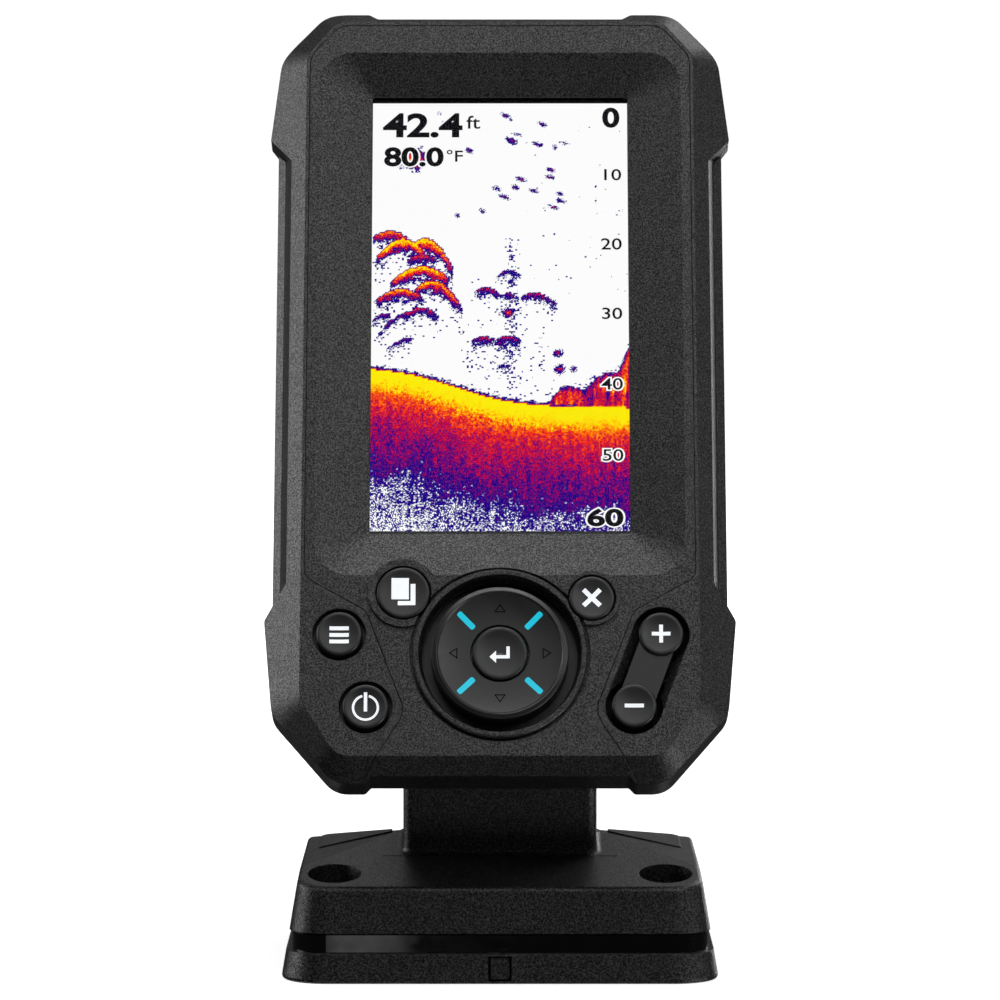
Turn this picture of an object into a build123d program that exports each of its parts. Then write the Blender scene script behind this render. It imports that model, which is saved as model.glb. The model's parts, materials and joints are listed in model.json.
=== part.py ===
from build123d import *
import os
from math import cos, radians, sin, tan

# A portable fish finder on its tilt and swivel bracket. Millimetres, +Z up, +X to the
# viewer's right, -Y towards the viewer. The origin is the middle of the base's underside,
# on the swivel axis.
#
# The head leans back, so its parts are drawn on FACE, the plane of the front rim:
# u runs across the face, v runs up it, and w is the height above it (negative = inside).

# ---- the head's place and outer shape ----
LEAN = 21.6  # the head's backward lean from upright, degrees
FACE_ORIGIN = (0, -12.62, 138.17)  # middle of the screen, on the rim plane
RIM_HALF = 40.9  # half width of the flat front rim
GUARD_HALF = 48.65  # half width over the corner guards
WAIST_HALF = 44.0  # half width of the front frame between the guards
WAIST_LOWER = 45.3  # the same at the foot of its drafted side wall
REAR_HALF = 47.2  # half width of the rear housing
DECK = -3.6  # underside of the front frame's inner deck
WAIST_STEP = -8.0  # foot of the front frame's side wall
SPLIT = -13.5  # back edge of the front frame
REAR_FRONT = -13.7  # front edge of the rear housing
REAR_SHOULDER = -22.5  # where the rear housing starts to narrow
REAR_TAPER = 32  # how much it narrows, degrees
BACK = -29.0  # outside of the rear housing
WALL = 2.0
SEAM = 0.12  # gap round the inner panel and between frame and housing rails

# ---- the display and its stack ----
PANEL_THICK = 2.0
CHIN_DEPTH = 4.4
RECESS = (76.3, 115.6)  # outer edge of the sloping recess round the screen
RECESS_MID = -0.4  # its centre's height on the face
RECESS_DEPTH = 2.8
OPENING = (54.0, 97.0)
BLOCK = (73.0, 110.0)  # raised back of the panel, which holds the lens
LENS = (60.0, 102.4, 0.8)
LENS_FRONT = -3.6
LCD_FRONT = -4.5
LCD_GLASS = (60.4, 101.0, 1.3)
LCD_FRAME = (67.2, 105.5, 3.5)
BOARD_FRONT = -10.2
BOARD_THICK = 1.6
MAT_FRONT = -7.0
MAT_THICK = 0.7

# ---- the keys: places on the face, then sizes ----
MENU = (-32.85, -70.9)
POWER = (-27.35, -86.3)
PAGES = (-19.8, -62.2)
CLOSE = (18.8, -63.3)
ZOOM_IN = (32.9, -70.9)
ZOOM_OUT = (27.3, -86.1)
DPAD = (0, -75.0)
KEY_TOP = 0.9
KEY_FLANGE = -3.75  # top of each key's retaining flange, just under the deck
FLANGE_THICK = 0.9
STEM_R = 1.5
STEM_END = -8.7
DOME_TOP = -9.5
KEY_R = 4.65
KEY_HOLE_R = 5.5
PAGES_R = 5.45
ENTER_R = 5.65
ZOOM_R = 4.55
ZOOM_BAR_HALF = 3.65
ZOOM_PIVOT = -4.3
PAD_R = 14.0
PAD_DISH_R = 12.65
PAD_HOLE_R = 15.9
PAD_FLANGE_R = 16.3
PAD_FLANGE = -4.85
PAD_PIVOT = -3.4
PAD_NUB_R = 11.0  # distance of the four press points from the middle
CONSOLE_R = 17.9  # raised ring round the pad
PAD_MOUTH_R = 16.7  # the ring's inner edge, from which the well narrows to the pad's hole
CONSOLE_TOP = 0.8
GROOVE_R = 18.45
LIGHT_BAR = (7.5, 12.0, 1.2)  # inner radius, outer radius, width

# ---- fasteners: places on the face ----
CASE_SCREWS = [(38.8, 49), (38.8, 0), (38.8, -50), (15, -94)]
BOARD_SCREWS = [(18, 59.6), (33.6, -59.8)]
BOSS_R = 2.6
SCREW_SEAT = -17.0

# ---- the socket and the vent in the back ----
SOCKET_AT = 14.0
SOCKET_MOUTH = BACK - 6.0
VENT = (-30, 40)
VENT_R = 4.2

# ---- bracket ----
HINGE = (2.5, 58.0)  # tilt axis, its y and z
HINGE_ON_FACE = (-69.0, -43.6)  # the same point as v and w
EAR_R = 10.0
KNUCKLE_R = 9.5
KNUCKLE_HALF = 11.5
EAR_INSIDE = 12.3
NECK_HALF = 20.3
TILT_BOLT_R = 3.0
FIT = 0.06  # radial running clearance
DOCK_BACK = -29.4  # front face of the tilt cradle
RAIL_IN = 22.15  # inside of the housing's dock rails
DOCK_BOTTOM = -60.0
DOCK_TOP = -9.0
LATCH_PIVOT = (-28.0, -35.8)  # v and w
LATCH_NOTCH = -14.2  # height of the latch's notch in the housing's back

# ---- base ----
BASE_HALF = (45.3, 38.5)  # half width and half depth of the footprint
FLARE = 9.5  # how far the base's sides lean in, degrees
PLATE_TOP = 6.1
BAND_TOP = 9.9
BAND_INSET = 1.3
BLOCK_BOTTOM = 10.2
BLOCK_EDGE = 19.6  # height of the block's front and back edges
RIDGE = 26.9  # height of the sloping top where it meets the neck
MOUNT_HOLES = (34.3, 26.9)  # half spacings
MOUNT_HOLE_R = 2.4
ACCESS_R = 5.55
SHOULDER_SLOPE = 0.22  # fall of the block's top towards its ends
EDGE_ROUND = 1.3  # rounding round the block's top
NECK_FILLET = 1.3  # rounding where the neck meets the block
FOOT_ROUND = 0.8  # rounding round the plate's underside
NECK_FRONT = -15.5
NECK_ROUND = 2.2  # rounding of the neck's upright edges
CREST = (23.0, 38.5, 0.35)  # inner end, outer end and height of the ribs on the ridge
PIVOT_R = 5.0  # shoulder of the swivel bolt
TAB_HALF = 1.95
TAB_SLOT = 0.45

lean = radians(LEAN)
UP = Vector(0, sin(lean), cos(lean))
OUT = Vector(0, -cos(lean), sin(lean))
FACE = Plane(origin=FACE_ORIGIN, x_dir=(1, 0, 0), z_dir=OUT)
SIDE = Plane(origin=FACE_ORIGIN, x_dir=UP, z_dir=(1, 0, 0))  # sketched as (v, w)


def on_face(u, v, w=0):
    """The point of the model at (u, v, w)."""
    return FACE.from_local_coords((u, v, w))


def section(v):
    """The plane across the head at height v, sketched as (u, depth behind the rim)."""
    return Plane(origin=on_face(0, v), x_dir=(1, 0, 0), z_dir=UP)


def turning(centre):
    """The plane of a turned key's profile, sketched as (radius, w)."""
    return Plane(origin=on_face(*centre), x_dir=(1, 0, 0), z_dir=-UP)


def spindle(centre):
    """The axis through a face point, square to the face."""
    return Axis(on_face(*centre), OUT)


def both_sides(places):
    """Each place and its mirror image across the centre line."""
    return [(side * u, v) for u, v in places for side in (1, -1)]


def symmetric(half):
    """A closed face about u = 0, from the (u, v, corner radius) of its right-hand side."""
    points = [(u, v) for u, v, _ in half] + [(-u, v) for u, v, _ in reversed(half)]
    radii = [r for _, _, r in half]
    with BuildSketch(mode=Mode.PRIVATE) as face:
        with BuildLine():
            FilletPolyline(*points, radius=radii + radii[::-1], close=True)
        make_face()
    return face.sketch


RIM = symmetric([(34.4, 64.5, 5), (RIM_HALF, 56.9, 5), (RIM_HALF, -84.4, 8), (33.4, -96.5, 5)])
BELT = symmetric(
    [
        (25.9, 65.4, 1),
        (27.8, 67.1, 1),
        (37.1, 67.1, 5),
        (46.4, 57.5, 6),
        (GUARD_HALF, 40.4, 0.6),
        (WAIST_HALF - 0.4, 33.6, 0.3),
        (WAIST_HALF - 0.4, -58.4, 0.3),
        (GUARD_HALF, -65.8, 1.5),
        (46.8, -86.2, 6),
        (33.9, -101.2, 6),
        (27.6, -101.2, 1),
        (26.4, -99.9, 0.5),
    ]
)
PANEL = symmetric(
    [
        (33.9, 63.5, 4.5),
        (40.1, 56.5, 4.5),
        (40.1, -58.6, 3),
        (27.35, -65.8, 4),
        (19.25, -87.3, 5),
        (28.9, -102.4, 0),
    ]
)
FRONT_ROOM = symmetric([(35.8, 62.9, 2), (41.6, 55.8, 3), (41.6, -83.6, 4), (32.9, -96.9, 3)])
REAR = symmetric(
    [
        (36.3, 65.0, 5),
        (45.6, 56.8, 6),
        (REAR_HALF, 44.0, 4),
        (REAR_HALF, -66.5, 4),
        (45.9, -85.4, 6),
        (33.2, -99.6, 6),
    ]
)
REAR_ROOM = symmetric(
    [
        (35.4, 62.8, 3),
        (43.6, 55.8, 4),
        (45.1, 43.8, 4),
        (45.1, -66.4, 4),
        (43.8, -84.4, 4),
        (32.6, -97.0, 4),
    ]
)

# ======================================================================================
# Head: front frame, inner panel, display
# ======================================================================================

# The outside of the front half: slopes fall away at 45 degrees from the rim to the belt.
with BuildPart() as front_form:
    with BuildSketch(FACE):
        add(RIM)
    extrude(amount=-9, taper=-45)
    with BuildSketch(FACE.offset(-9)):
        add(BELT)
    extrude(amount=SPLIT + 9)
    with BuildSketch(FACE):
        add(BELT)
    extrude(amount=SPLIT, mode=Mode.INTERSECT)
    with BuildSketch(section(-61.0)):
        with BuildLine():
            Polyline(
                (RIM_HALF, 0.8),
                (RIM_HALF + 0.8, 0.8),
                (WAIST_HALF, WAIST_HALF - RIM_HALF),
                (WAIST_LOWER, -WAIST_STEP),
                (RIM_HALF, -WAIST_STEP),
                close=True,
            )
        make_face()
        mirror(about=Plane.YZ)
    extrude(amount=61.0 + 36.5)

zoom_mid = ((ZOOM_IN[0] + ZOOM_OUT[0]) / 2, (ZOOM_IN[1] + ZOOM_OUT[1]) / 2)
zoom_run = Vector(ZOOM_IN[0] - ZOOM_OUT[0], ZOOM_IN[1] - ZOOM_OUT[1], 0)
zoom_half = zoom_run.length / 2
zoom_dir = Vector(1, 0, 0) * (zoom_run.X / zoom_run.length) + UP * (zoom_run.Y / zoom_run.length)
ZOOM = Plane(origin=on_face(*zoom_mid), x_dir=zoom_dir, z_dir=OUT)  # x along the rocker

with BuildPart() as front_frame:
    add(front_form.part)
    with BuildSketch(FACE.offset(SPLIT)):
        add(FRONT_ROOM)
    extrude(amount=DECK - SPLIT, mode=Mode.SUBTRACT)
    # bosses for the case screws and pillars for the board
    with BuildSketch(FACE.offset(SPLIT)):
        with Locations(*both_sides(CASE_SCREWS)):
            Circle(BOSS_R)
    extrude(amount=DECK - SPLIT)
    with BuildSketch(FACE.offset(BOARD_FRONT)):
        with Locations(*both_sides(BOARD_SCREWS)):
            Circle(2.2)
    extrude(amount=DECK - BOARD_FRONT)
    # lugs for the zoom rocker's pin
    with BuildSketch(ZOOM.offset(ZOOM_PIVOT - 1.6)):
        with Locations((0, 7.9), (0, -7.9)):
            Rectangle(3.2, 1.8)
    extrude(amount=DECK - ZOOM_PIVOT + 1.6)
    add(front_form.part, mode=Mode.INTERSECT)
    # the inner panel's seat
    with BuildSketch(FACE):
        add(PANEL)
        offset(amount=SEAM)
    extrude(amount=-PANEL_THICK - 0.05, mode=Mode.SUBTRACT)
    with BuildSketch(FACE):
        add(PANEL)
        offset(amount=SEAM)
        with Locations((0, -95.2 + 100)):
            Rectangle(120, 200, mode=Mode.SUBTRACT)
    extrude(amount=-CHIN_DEPTH - 0.05, mode=Mode.SUBTRACT)
    with BuildSketch(FACE):
        RectangleRounded(BLOCK[0] + 0.6, BLOCK[1] + 0.6, 3)
    extrude(amount=SPLIT, mode=Mode.SUBTRACT)
    # key holes
    with BuildSketch(FACE):
        with Locations(MENU, POWER):
            Circle(KEY_HOLE_R)
        with Locations(PAGES):
            Circle(PAGES_R + 0.3)
        with Locations(CLOSE):
            Circle(KEY_R + 0.3)
        with Locations(DPAD):
            Circle(PAD_HOLE_R)
        with Locations(ZOOM_IN, ZOOM_OUT):
            Circle(ZOOM_R + 1.3)
    extrude(amount=DECK, mode=Mode.SUBTRACT)
    trough_end = ZOOM.origin - zoom_dir * zoom_half
    trough = Plane(origin=trough_end, x_dir=OUT.cross(zoom_dir), z_dir=zoom_dir)
    with BuildSketch(trough):
        with BuildLine():
            Polyline(
                (-ZOOM_R - 1.3, 0),
                (ZOOM_R + 1.3, 0),
                (ZOOM_BAR_HALF + 0.6, -1.6),
                (ZOOM_BAR_HALF + 0.6, DECK),
                (-ZOOM_BAR_HALF - 0.6, DECK),
                (-ZOOM_BAR_HALF - 0.6, -1.6),
                close=True,
            )
        make_face()
    extrude(amount=2 * zoom_half, mode=Mode.SUBTRACT)
    # screw holes
    with BuildSketch(FACE.offset(SPLIT)):
        with Locations(*both_sides(CASE_SCREWS)):
            Circle(1.3)
    extrude(amount=6, mode=Mode.SUBTRACT)
    with BuildSketch(FACE.offset(BOARD_FRONT)):
        with Locations(*both_sides(BOARD_SCREWS)):
            Circle(1.05)
    extrude(amount=4.5, mode=Mode.SUBTRACT)
    pin_hole = Plane(origin=ZOOM.origin + OUT * ZOOM_PIVOT, x_dir=zoom_dir, z_dir=OUT.cross(zoom_dir))
    with BuildSketch(pin_hole):
        Circle(0.75)
    extrude(amount=8.8, both=True, mode=Mode.SUBTRACT)

with BuildPart() as display_panel:
    with BuildSketch(FACE):
        add(PANEL)
    extrude(amount=-PANEL_THICK)
    with BuildSketch(FACE):
        add(PANEL)
        with Locations((0, -95.4 + 100)):
            Rectangle(120, 200, mode=Mode.SUBTRACT)
    extrude(amount=-CHIN_DEPTH)
    add(front_form.part, mode=Mode.INTERSECT)
    with BuildSketch(FACE.offset(LENS_FRONT - LENS[2])):
        RectangleRounded(*BLOCK, 3)
    extrude(amount=-PANEL_THICK - LENS_FRONT + LENS[2])
    # the sloping recess down to the opening, then the seat for the lens behind it
    with BuildSketch(FACE):
        with Locations((0, RECESS_MID)):
            RectangleRounded(*RECESS, 7)
    with BuildSketch(FACE.offset(-RECESS_DEPTH)):
        RectangleRounded(*OPENING, 0.8)
    loft(mode=Mode.SUBTRACT)
    with BuildSketch(FACE):
        RectangleRounded(*OPENING, 0.8)
    extrude(amount=-6, mode=Mode.SUBTRACT)
    with BuildSketch(FACE.offset(LENS_FRONT)):
        RectangleRounded(LENS[0] + 0.3, LENS[1] + 0.3, 1)
    extrude(amount=-2, mode=Mode.SUBTRACT)
    # raised rings round the keys, the groove round the pad's console and the key holes
    with BuildSketch(FACE):
        with Locations(PAGES):
            Circle(PAGES_R + 1.8)
        with Locations(CLOSE):
            Circle(KEY_R + 1.15)
    extrude(amount=0.7)
    with BuildSketch(FACE.offset(1)):
        with Locations(DPAD):
            Circle(GROOVE_R)
    extrude(amount=-1 - 0.9, mode=Mode.SUBTRACT)
    with BuildSketch(FACE.offset(-1.2)):
        with Locations(DPAD):
            Circle(CONSOLE_R)
    extrude(amount=1.2 + CONSOLE_TOP)
    console_edges = display_panel.edges().filter_by(GeomType.CIRCLE).filter_by(
        lambda edge: abs(edge.radius - CONSOLE_R) < 0.01 and FACE.to_local_coords(edge.center()).Z > 0.5
    )
    fillet(console_edges, 0.45)
    with BuildSketch(FACE.offset(2)):
        with Locations(PAGES):
            Circle(PAGES_R + 0.3)
        with Locations(CLOSE):
            Circle(KEY_R + 0.3)
        with Locations(DPAD):
            Circle(PAD_HOLE_R)
    extrude(amount=-6, mode=Mode.SUBTRACT)
    with BuildSketch(turning(DPAD)):
        with BuildLine():
            Polyline(
                (0, -2.2),
                (PAD_HOLE_R, -2.2),
                (PAD_MOUTH_R, CONSOLE_TOP + 0.01),
                (0, CONSOLE_TOP + 0.01),
                close=True,
            )
        make_face()
    revolve(axis=spindle(DPAD), mode=Mode.SUBTRACT)

with BuildPart() as lens_window:
    with BuildSketch(FACE.offset(LENS_FRONT)):
        RectangleRounded(LENS[0], LENS[1], 0.8)
    extrude(amount=-LENS[2])

with BuildPart() as lcd_glass:
    with BuildSketch(FACE.offset(LCD_FRONT)):
        Rectangle(LCD_GLASS[0], LCD_GLASS[1])
    extrude(amount=-LCD_GLASS[2])

with BuildPart() as backlight:
    with BuildSketch(FACE.offset(LCD_FRONT - LCD_GLASS[2] - 0.1)):
        Rectangle(LCD_GLASS[0], LCD_GLASS[1])
    extrude(amount=-1.4)
    fillet(backlight.edges().filter_by(lambda edge: abs(edge.length - 1.4) < 0.01), 0.6)

with BuildPart() as lcd_frame:
    with BuildSketch(FACE.offset(LCD_FRONT)):
        RectangleRounded(LCD_FRAME[0], LCD_FRAME[1], 0.8)
    extrude(amount=-LCD_FRAME[2])
    with BuildSketch(FACE.offset(LCD_FRONT)):
        Rectangle(LCD_GLASS[0] + 0.4, LCD_GLASS[1] + 0.4)
    extrude(amount=-LCD_FRAME[2] + 0.5, mode=Mode.SUBTRACT)

with BuildPart() as lcd_flex:  # ribbon from the display's lower edge to the board
    with BuildSketch(SIDE):
        with BuildLine():
            ribbon = FilletPolyline((-50, -8.4), (-56.2, -8.4), (-56.2, -9.95), (-60, -9.95), radius=0.6)
            offset(ribbon, amount=0.12, side=Side.BOTH)
        make_face()
    extrude(amount=11, both=True)

# ======================================================================================
# Head: board and keys
# ======================================================================================

with BuildPart() as main_board:
    with BuildSketch(FACE.offset(BOARD_FRONT)):
        add(symmetric([(31.4, 61.4, 1.5), (35.8, 55.0, 1.5), (35.8, -87.4, 1.5), (32.4, -91.0, 1.5)]))
        with Locations(*both_sides(BOARD_SCREWS)):
            Circle(1.2, mode=Mode.SUBTRACT)
    extrude(amount=-BOARD_THICK)

with BuildPart() as board_screws:
    with BuildSketch(FACE.offset(BOARD_FRONT - BOARD_THICK)):
        with Locations(*both_sides(BOARD_SCREWS)):
            Circle(2.2)
    extrude(amount=-1.4)
    with BuildSketch(FACE.offset(BOARD_FRONT - BOARD_THICK - 1.4)):
        with Locations(*both_sides(BOARD_SCREWS)):
            RegularPolygon(0.9, 6)
    extrude(amount=0.8, mode=Mode.SUBTRACT)
    with BuildSketch(FACE.offset(BOARD_FRONT - BOARD_THICK)):
        with Locations(*both_sides(BOARD_SCREWS)):
            Circle(1.0)
    extrude(amount=BOARD_THICK + 4)

with BuildPart() as board_chips:
    with BuildSketch(FACE.offset(BOARD_FRONT - BOARD_THICK)):
        with Locations((-14, 22)):
            Rectangle(14, 14)
        with Locations((8, 30)):
            Rectangle(8, 11)
        with Locations((-16, -8)):
            Rectangle(10, 10)
        with Locations((18, -30)):
            Rectangle(9, 6)
    extrude(amount=-1.2)
    with BuildSketch(FACE.offset(BOARD_FRONT - BOARD_THICK)):
        with Locations((-22, -42), (-10, -42), (2, -42)):
            Circle(4)
    extrude(amount=-7)

with BuildPart() as gps_antenna:
    with BuildSketch(FACE.offset(BOARD_FRONT - BOARD_THICK)):
        with Locations((0, 48)):
            RectangleRounded(18, 18, 0.6)
    extrude(amount=-4)
    with BuildSketch(FACE.offset(BOARD_FRONT - BOARD_THICK - 4)):
        with Locations((0, 48)):
            RectangleRounded(14, 14, 0.4)
    extrude(amount=-0.3)

with BuildPart() as buzzer:
    with BuildSketch(FACE.offset(BOARD_FRONT - BOARD_THICK)):
        with Locations((20, -76)):
            Circle(6)
    extrude(amount=-5)
    with BuildSketch(FACE.offset(BOARD_FRONT - BOARD_THICK - 5)):
        with Locations((20, -76)):
            Circle(1)
    extrude(amount=1, mode=Mode.SUBTRACT)

pad_presses = [
    (DPAD[0] + across * PAD_NUB_R, DPAD[1] + up * PAD_NUB_R)
    for across, up in ((1, 0), (-1, 0), (0, 1), (0, -1))
]
with BuildPart() as switch_domes:
    with BuildSketch(FACE.offset(BOARD_FRONT)):
        with Locations(MENU, POWER, PAGES, CLOSE, ZOOM_IN, ZOOM_OUT, DPAD, *pad_presses):
            Circle(2.0)
    extrude(amount=DOME_TOP - BOARD_FRONT, taper=40)

with BuildPart() as keypad_mat:
    with BuildSketch(FACE.offset(MAT_FRONT)):
        add(symmetric([(40.6, -57.8, 2), (40.6, -82.6, 2), (32.0, -95.4, 2)]))
        with Locations(DPAD):
            Circle(13.2, mode=Mode.SUBTRACT)
        with Locations(MENU, POWER, PAGES, CLOSE, ZOOM_IN, ZOOM_OUT):
            Circle(STEM_R + 0.8, mode=Mode.SUBTRACT)
        with Locations((33.6, -59.8), (-33.6, -59.8)):
            Circle(2.5, mode=Mode.SUBTRACT)
        with Locations((15, -94), (-15, -94)):
            Circle(2.9, mode=Mode.SUBTRACT)
    extrude(amount=-MAT_THICK)


def push_key(centre, cap_r, flange_r):
    """A round key: dished cap, retaining flange under the deck, stem down to its switch."""
    flat = cap_r - 0.75
    with BuildPart() as piece:
        with BuildSketch(turning(centre)):
            with BuildLine():
                FilletPolyline(
                    (0, STEM_END),
                    (STEM_R, STEM_END),
                    (STEM_R, KEY_FLANGE - FLANGE_THICK),
                    (flange_r, KEY_FLANGE - FLANGE_THICK),
                    (flange_r, KEY_FLANGE),
                    (cap_r, KEY_FLANGE),
                    (cap_r, KEY_TOP),
                    (flat, KEY_TOP),
                    radius=[0, 0, 0, 0, 0, 0.45],
                )
                TangentArc((0, KEY_TOP - 0.35), (flat, KEY_TOP), tangent=(1, 0))
                Line((0, KEY_TOP - 0.35), (0, STEM_END))
            make_face()
        revolve(axis=spindle(centre))
    return piece


menu_button = push_key(MENU, KEY_R, 6.3)
power_button = push_key(POWER, KEY_R, 6.3)
pages_button = push_key(PAGES, PAGES_R, 6.45)
close_button = push_key(CLOSE, KEY_R, 5.55)

with BuildPart() as enter_button:
    with BuildSketch(turning(DPAD)):
        with BuildLine():
            FilletPolyline(
                (0, STEM_END),
                (STEM_R, STEM_END),
                (STEM_R, -1.4),
                (ENTER_R, -1.4),
                (ENTER_R, 0.75),
                (ENTER_R - 0.8, 0.75),
                radius=[0, 0, 0.3, 0.45],
            )
            TangentArc((0, 0.35), (ENTER_R - 0.8, 0.75), tangent=(1, 0))
            Line((0, 0.35), (0, STEM_END))
        make_face()
    revolve(axis=spindle(DPAD))

with BuildPart() as zoom_rocker:
    with BuildSketch(ZOOM.offset(-5.8)):
        Rectangle(2 * zoom_half, 2 * ZOOM_BAR_HALF)
    extrude(amount=5.8 + 0.15)
    for end in (ZOOM_IN, ZOOM_OUT):
        with BuildSketch(turning(end)):
            with BuildLine():
                FilletPolyline(
                    (0, STEM_END),
                    (STEM_R, STEM_END),
                    (STEM_R, -5.0),
                    (ZOOM_R, -5.0),
                    (ZOOM_R, KEY_TOP),
                    (ZOOM_R - 0.75, KEY_TOP),
                    radius=[0, 0, 0, 0.45],
                )
                TangentArc((0, KEY_TOP - 0.35), (ZOOM_R - 0.75, KEY_TOP), tangent=(1, 0))
                Line((0, KEY_TOP - 0.35), (0, STEM_END))
            make_face()
        revolve(axis=spindle(end))
    with BuildSketch(pin_hole):
        Circle(0.75 + FIT)
    extrude(amount=8, both=True, mode=Mode.SUBTRACT)

with BuildPart() as zoom_pin:
    with BuildSketch(pin_hole):
        Circle(0.75)
    extrude(amount=8.75, both=True)

with BuildPart() as direction_pad:
    with BuildSketch(turning(DPAD)):
        with BuildLine():
            FilletPolyline(
                (ENTER_R + 0.4, 0.25),
                (ENTER_R + 0.4, -1.6),
                (PAD_R - 1.4, -1.6),
                (PAD_R - 1.4, PAD_FLANGE - 0.75),
                (PAD_FLANGE_R, PAD_FLANGE - 0.75),
                (PAD_FLANGE_R, PAD_FLANGE),
                (PAD_R, PAD_FLANGE),
                (PAD_R, 0.95),
                (PAD_DISH_R + 0.35, 1.3),
                (PAD_DISH_R, 1.0),
                radius=[0, 0, 0, 0, 0, 0, 0.25, 0.2],
            )
            TangentArc((ENTER_R + 0.4, 0.25), (PAD_DISH_R, 1.0), tangent=(1, 0.03))
        make_face()
    revolve(axis=spindle(DPAD))
    with BuildSketch(FACE.offset(-1.6)):
        with Locations(*pad_presses):
            Circle(STEM_R)
    extrude(amount=STEM_END + 1.6)
    with BuildSketch(FACE.offset(-1.6)):
        with Locations((0, DPAD[1] + 7.9), (0, DPAD[1] - 7.9)):
            Rectangle(2.6, 1.8)
    extrude(amount=-3.0)
    with BuildSketch(section(DPAD[1])):
        with Locations((0, -PAD_PIVOT)):
            Circle(0.6 + FIT)
    extrude(amount=9, both=True, mode=Mode.SUBTRACT)

# The lit bars are the pad's own shape, cut out by four slots.
with BuildPart() as light_bars:
    add(direction_pad.part)
    with BuildSketch(FACE.offset(-1.6)):
        with Locations(DPAD):
            with PolarLocations((LIGHT_BAR[0] + LIGHT_BAR[1]) / 2, 4, start_angle=45):
                RectangleRounded(LIGHT_BAR[1] - LIGHT_BAR[0], LIGHT_BAR[2], 0.4)
    extrude(amount=6, mode=Mode.INTERSECT)

with BuildPart(mode=Mode.PRIVATE) as pad_slotted:
    add(direction_pad.part)
    add(light_bars.part, mode=Mode.SUBTRACT)
direction_pad = pad_slotted

with BuildPart() as pad_gimbal:
    with BuildSketch(Plane(origin=on_face(0, DPAD[1], PAD_PIVOT), x_dir=UP, z_dir=(1, 0, 0))):
        Circle(0.6)
    extrude(amount=8.7, both=True)
    with BuildSketch(section(DPAD[1])):
        with Locations((0, -PAD_PIVOT)):
            Circle(0.6)
    extrude(amount=8.7, both=True)
    with BuildSketch(FACE.offset(PAD_PIVOT - 0.8)):
        with Locations(DPAD):
            Circle(6.0)
    extrude(amount=1.6)
    with BuildSketch(FACE.offset(PAD_PIVOT - 0.8)):
        with Locations(DPAD):
            Circle(4.4)
    extrude(amount=1.6, mode=Mode.SUBTRACT)

with BuildPart() as pad_post:
    with BuildSketch(FACE.offset(BOARD_FRONT)):
        with Locations(DPAD):
            Circle(8.8)
            Circle(3.0, mode=Mode.SUBTRACT)
    extrude(amount=1.0)
    with BuildSketch(FACE.offset(BOARD_FRONT)):
        with Locations((7.9, DPAD[1]), (-7.9, DPAD[1])):
            Rectangle(1.8, 2.6)
    extrude(amount=-2.4 - BOARD_FRONT)
    with BuildSketch(Plane(origin=on_face(0, DPAD[1], PAD_PIVOT), x_dir=UP, z_dir=(1, 0, 0))):
        Circle(0.6 + FIT)
    extrude(amount=9, both=True, mode=Mode.SUBTRACT)

# ======================================================================================
# Head: rear half
# ======================================================================================

# The rear housing's underside slopes up towards the back; (v, w) outlines of what is cut away
# from its outside and from the room inside it.
REAR_CUT = [
    (-63, BACK - 3),
    (-66, BACK),
    (-97.2, -20.8),
    (-99.3, REAR_FRONT),
    (-115, REAR_FRONT),
    (-115, BACK - 3),
]
ROOM_CUT = [
    (-62, BACK - 3),
    (-65.4, BACK + WALL),
    (-95.0, -19.2),
    (-97, REAR_FRONT),
    (-115, REAR_FRONT),
    (-115, BACK - 3),
]

with BuildPart(mode=Mode.PRIVATE) as rear_space:
    with BuildSketch(FACE.offset(REAR_FRONT)):
        add(REAR_ROOM)
    extrude(amount=REAR_SHOULDER + 1 - REAR_FRONT)
    with BuildSketch(FACE.offset(REAR_SHOULDER + 1)):
        add(REAR_ROOM)
    extrude(amount=BACK + WALL - REAR_SHOULDER - 1, taper=REAR_TAPER)
    with BuildSketch(SIDE):
        with BuildLine():
            Polyline(*ROOM_CUT, close=True)
        make_face()
    extrude(amount=60, both=True, mode=Mode.SUBTRACT)

with BuildPart() as rear_form:
    with BuildSketch(FACE.offset(REAR_FRONT)):
        add(REAR)
    extrude(amount=REAR_SHOULDER - REAR_FRONT)
    with BuildSketch(FACE.offset(REAR_SHOULDER)):
        add(REAR)
    extrude(amount=BACK - REAR_SHOULDER, taper=REAR_TAPER)
    with BuildSketch(SIDE):
        with BuildLine():
            Polyline(*REAR_CUT, close=True)
        make_face()
    extrude(amount=60, both=True, mode=Mode.SUBTRACT)

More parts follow.
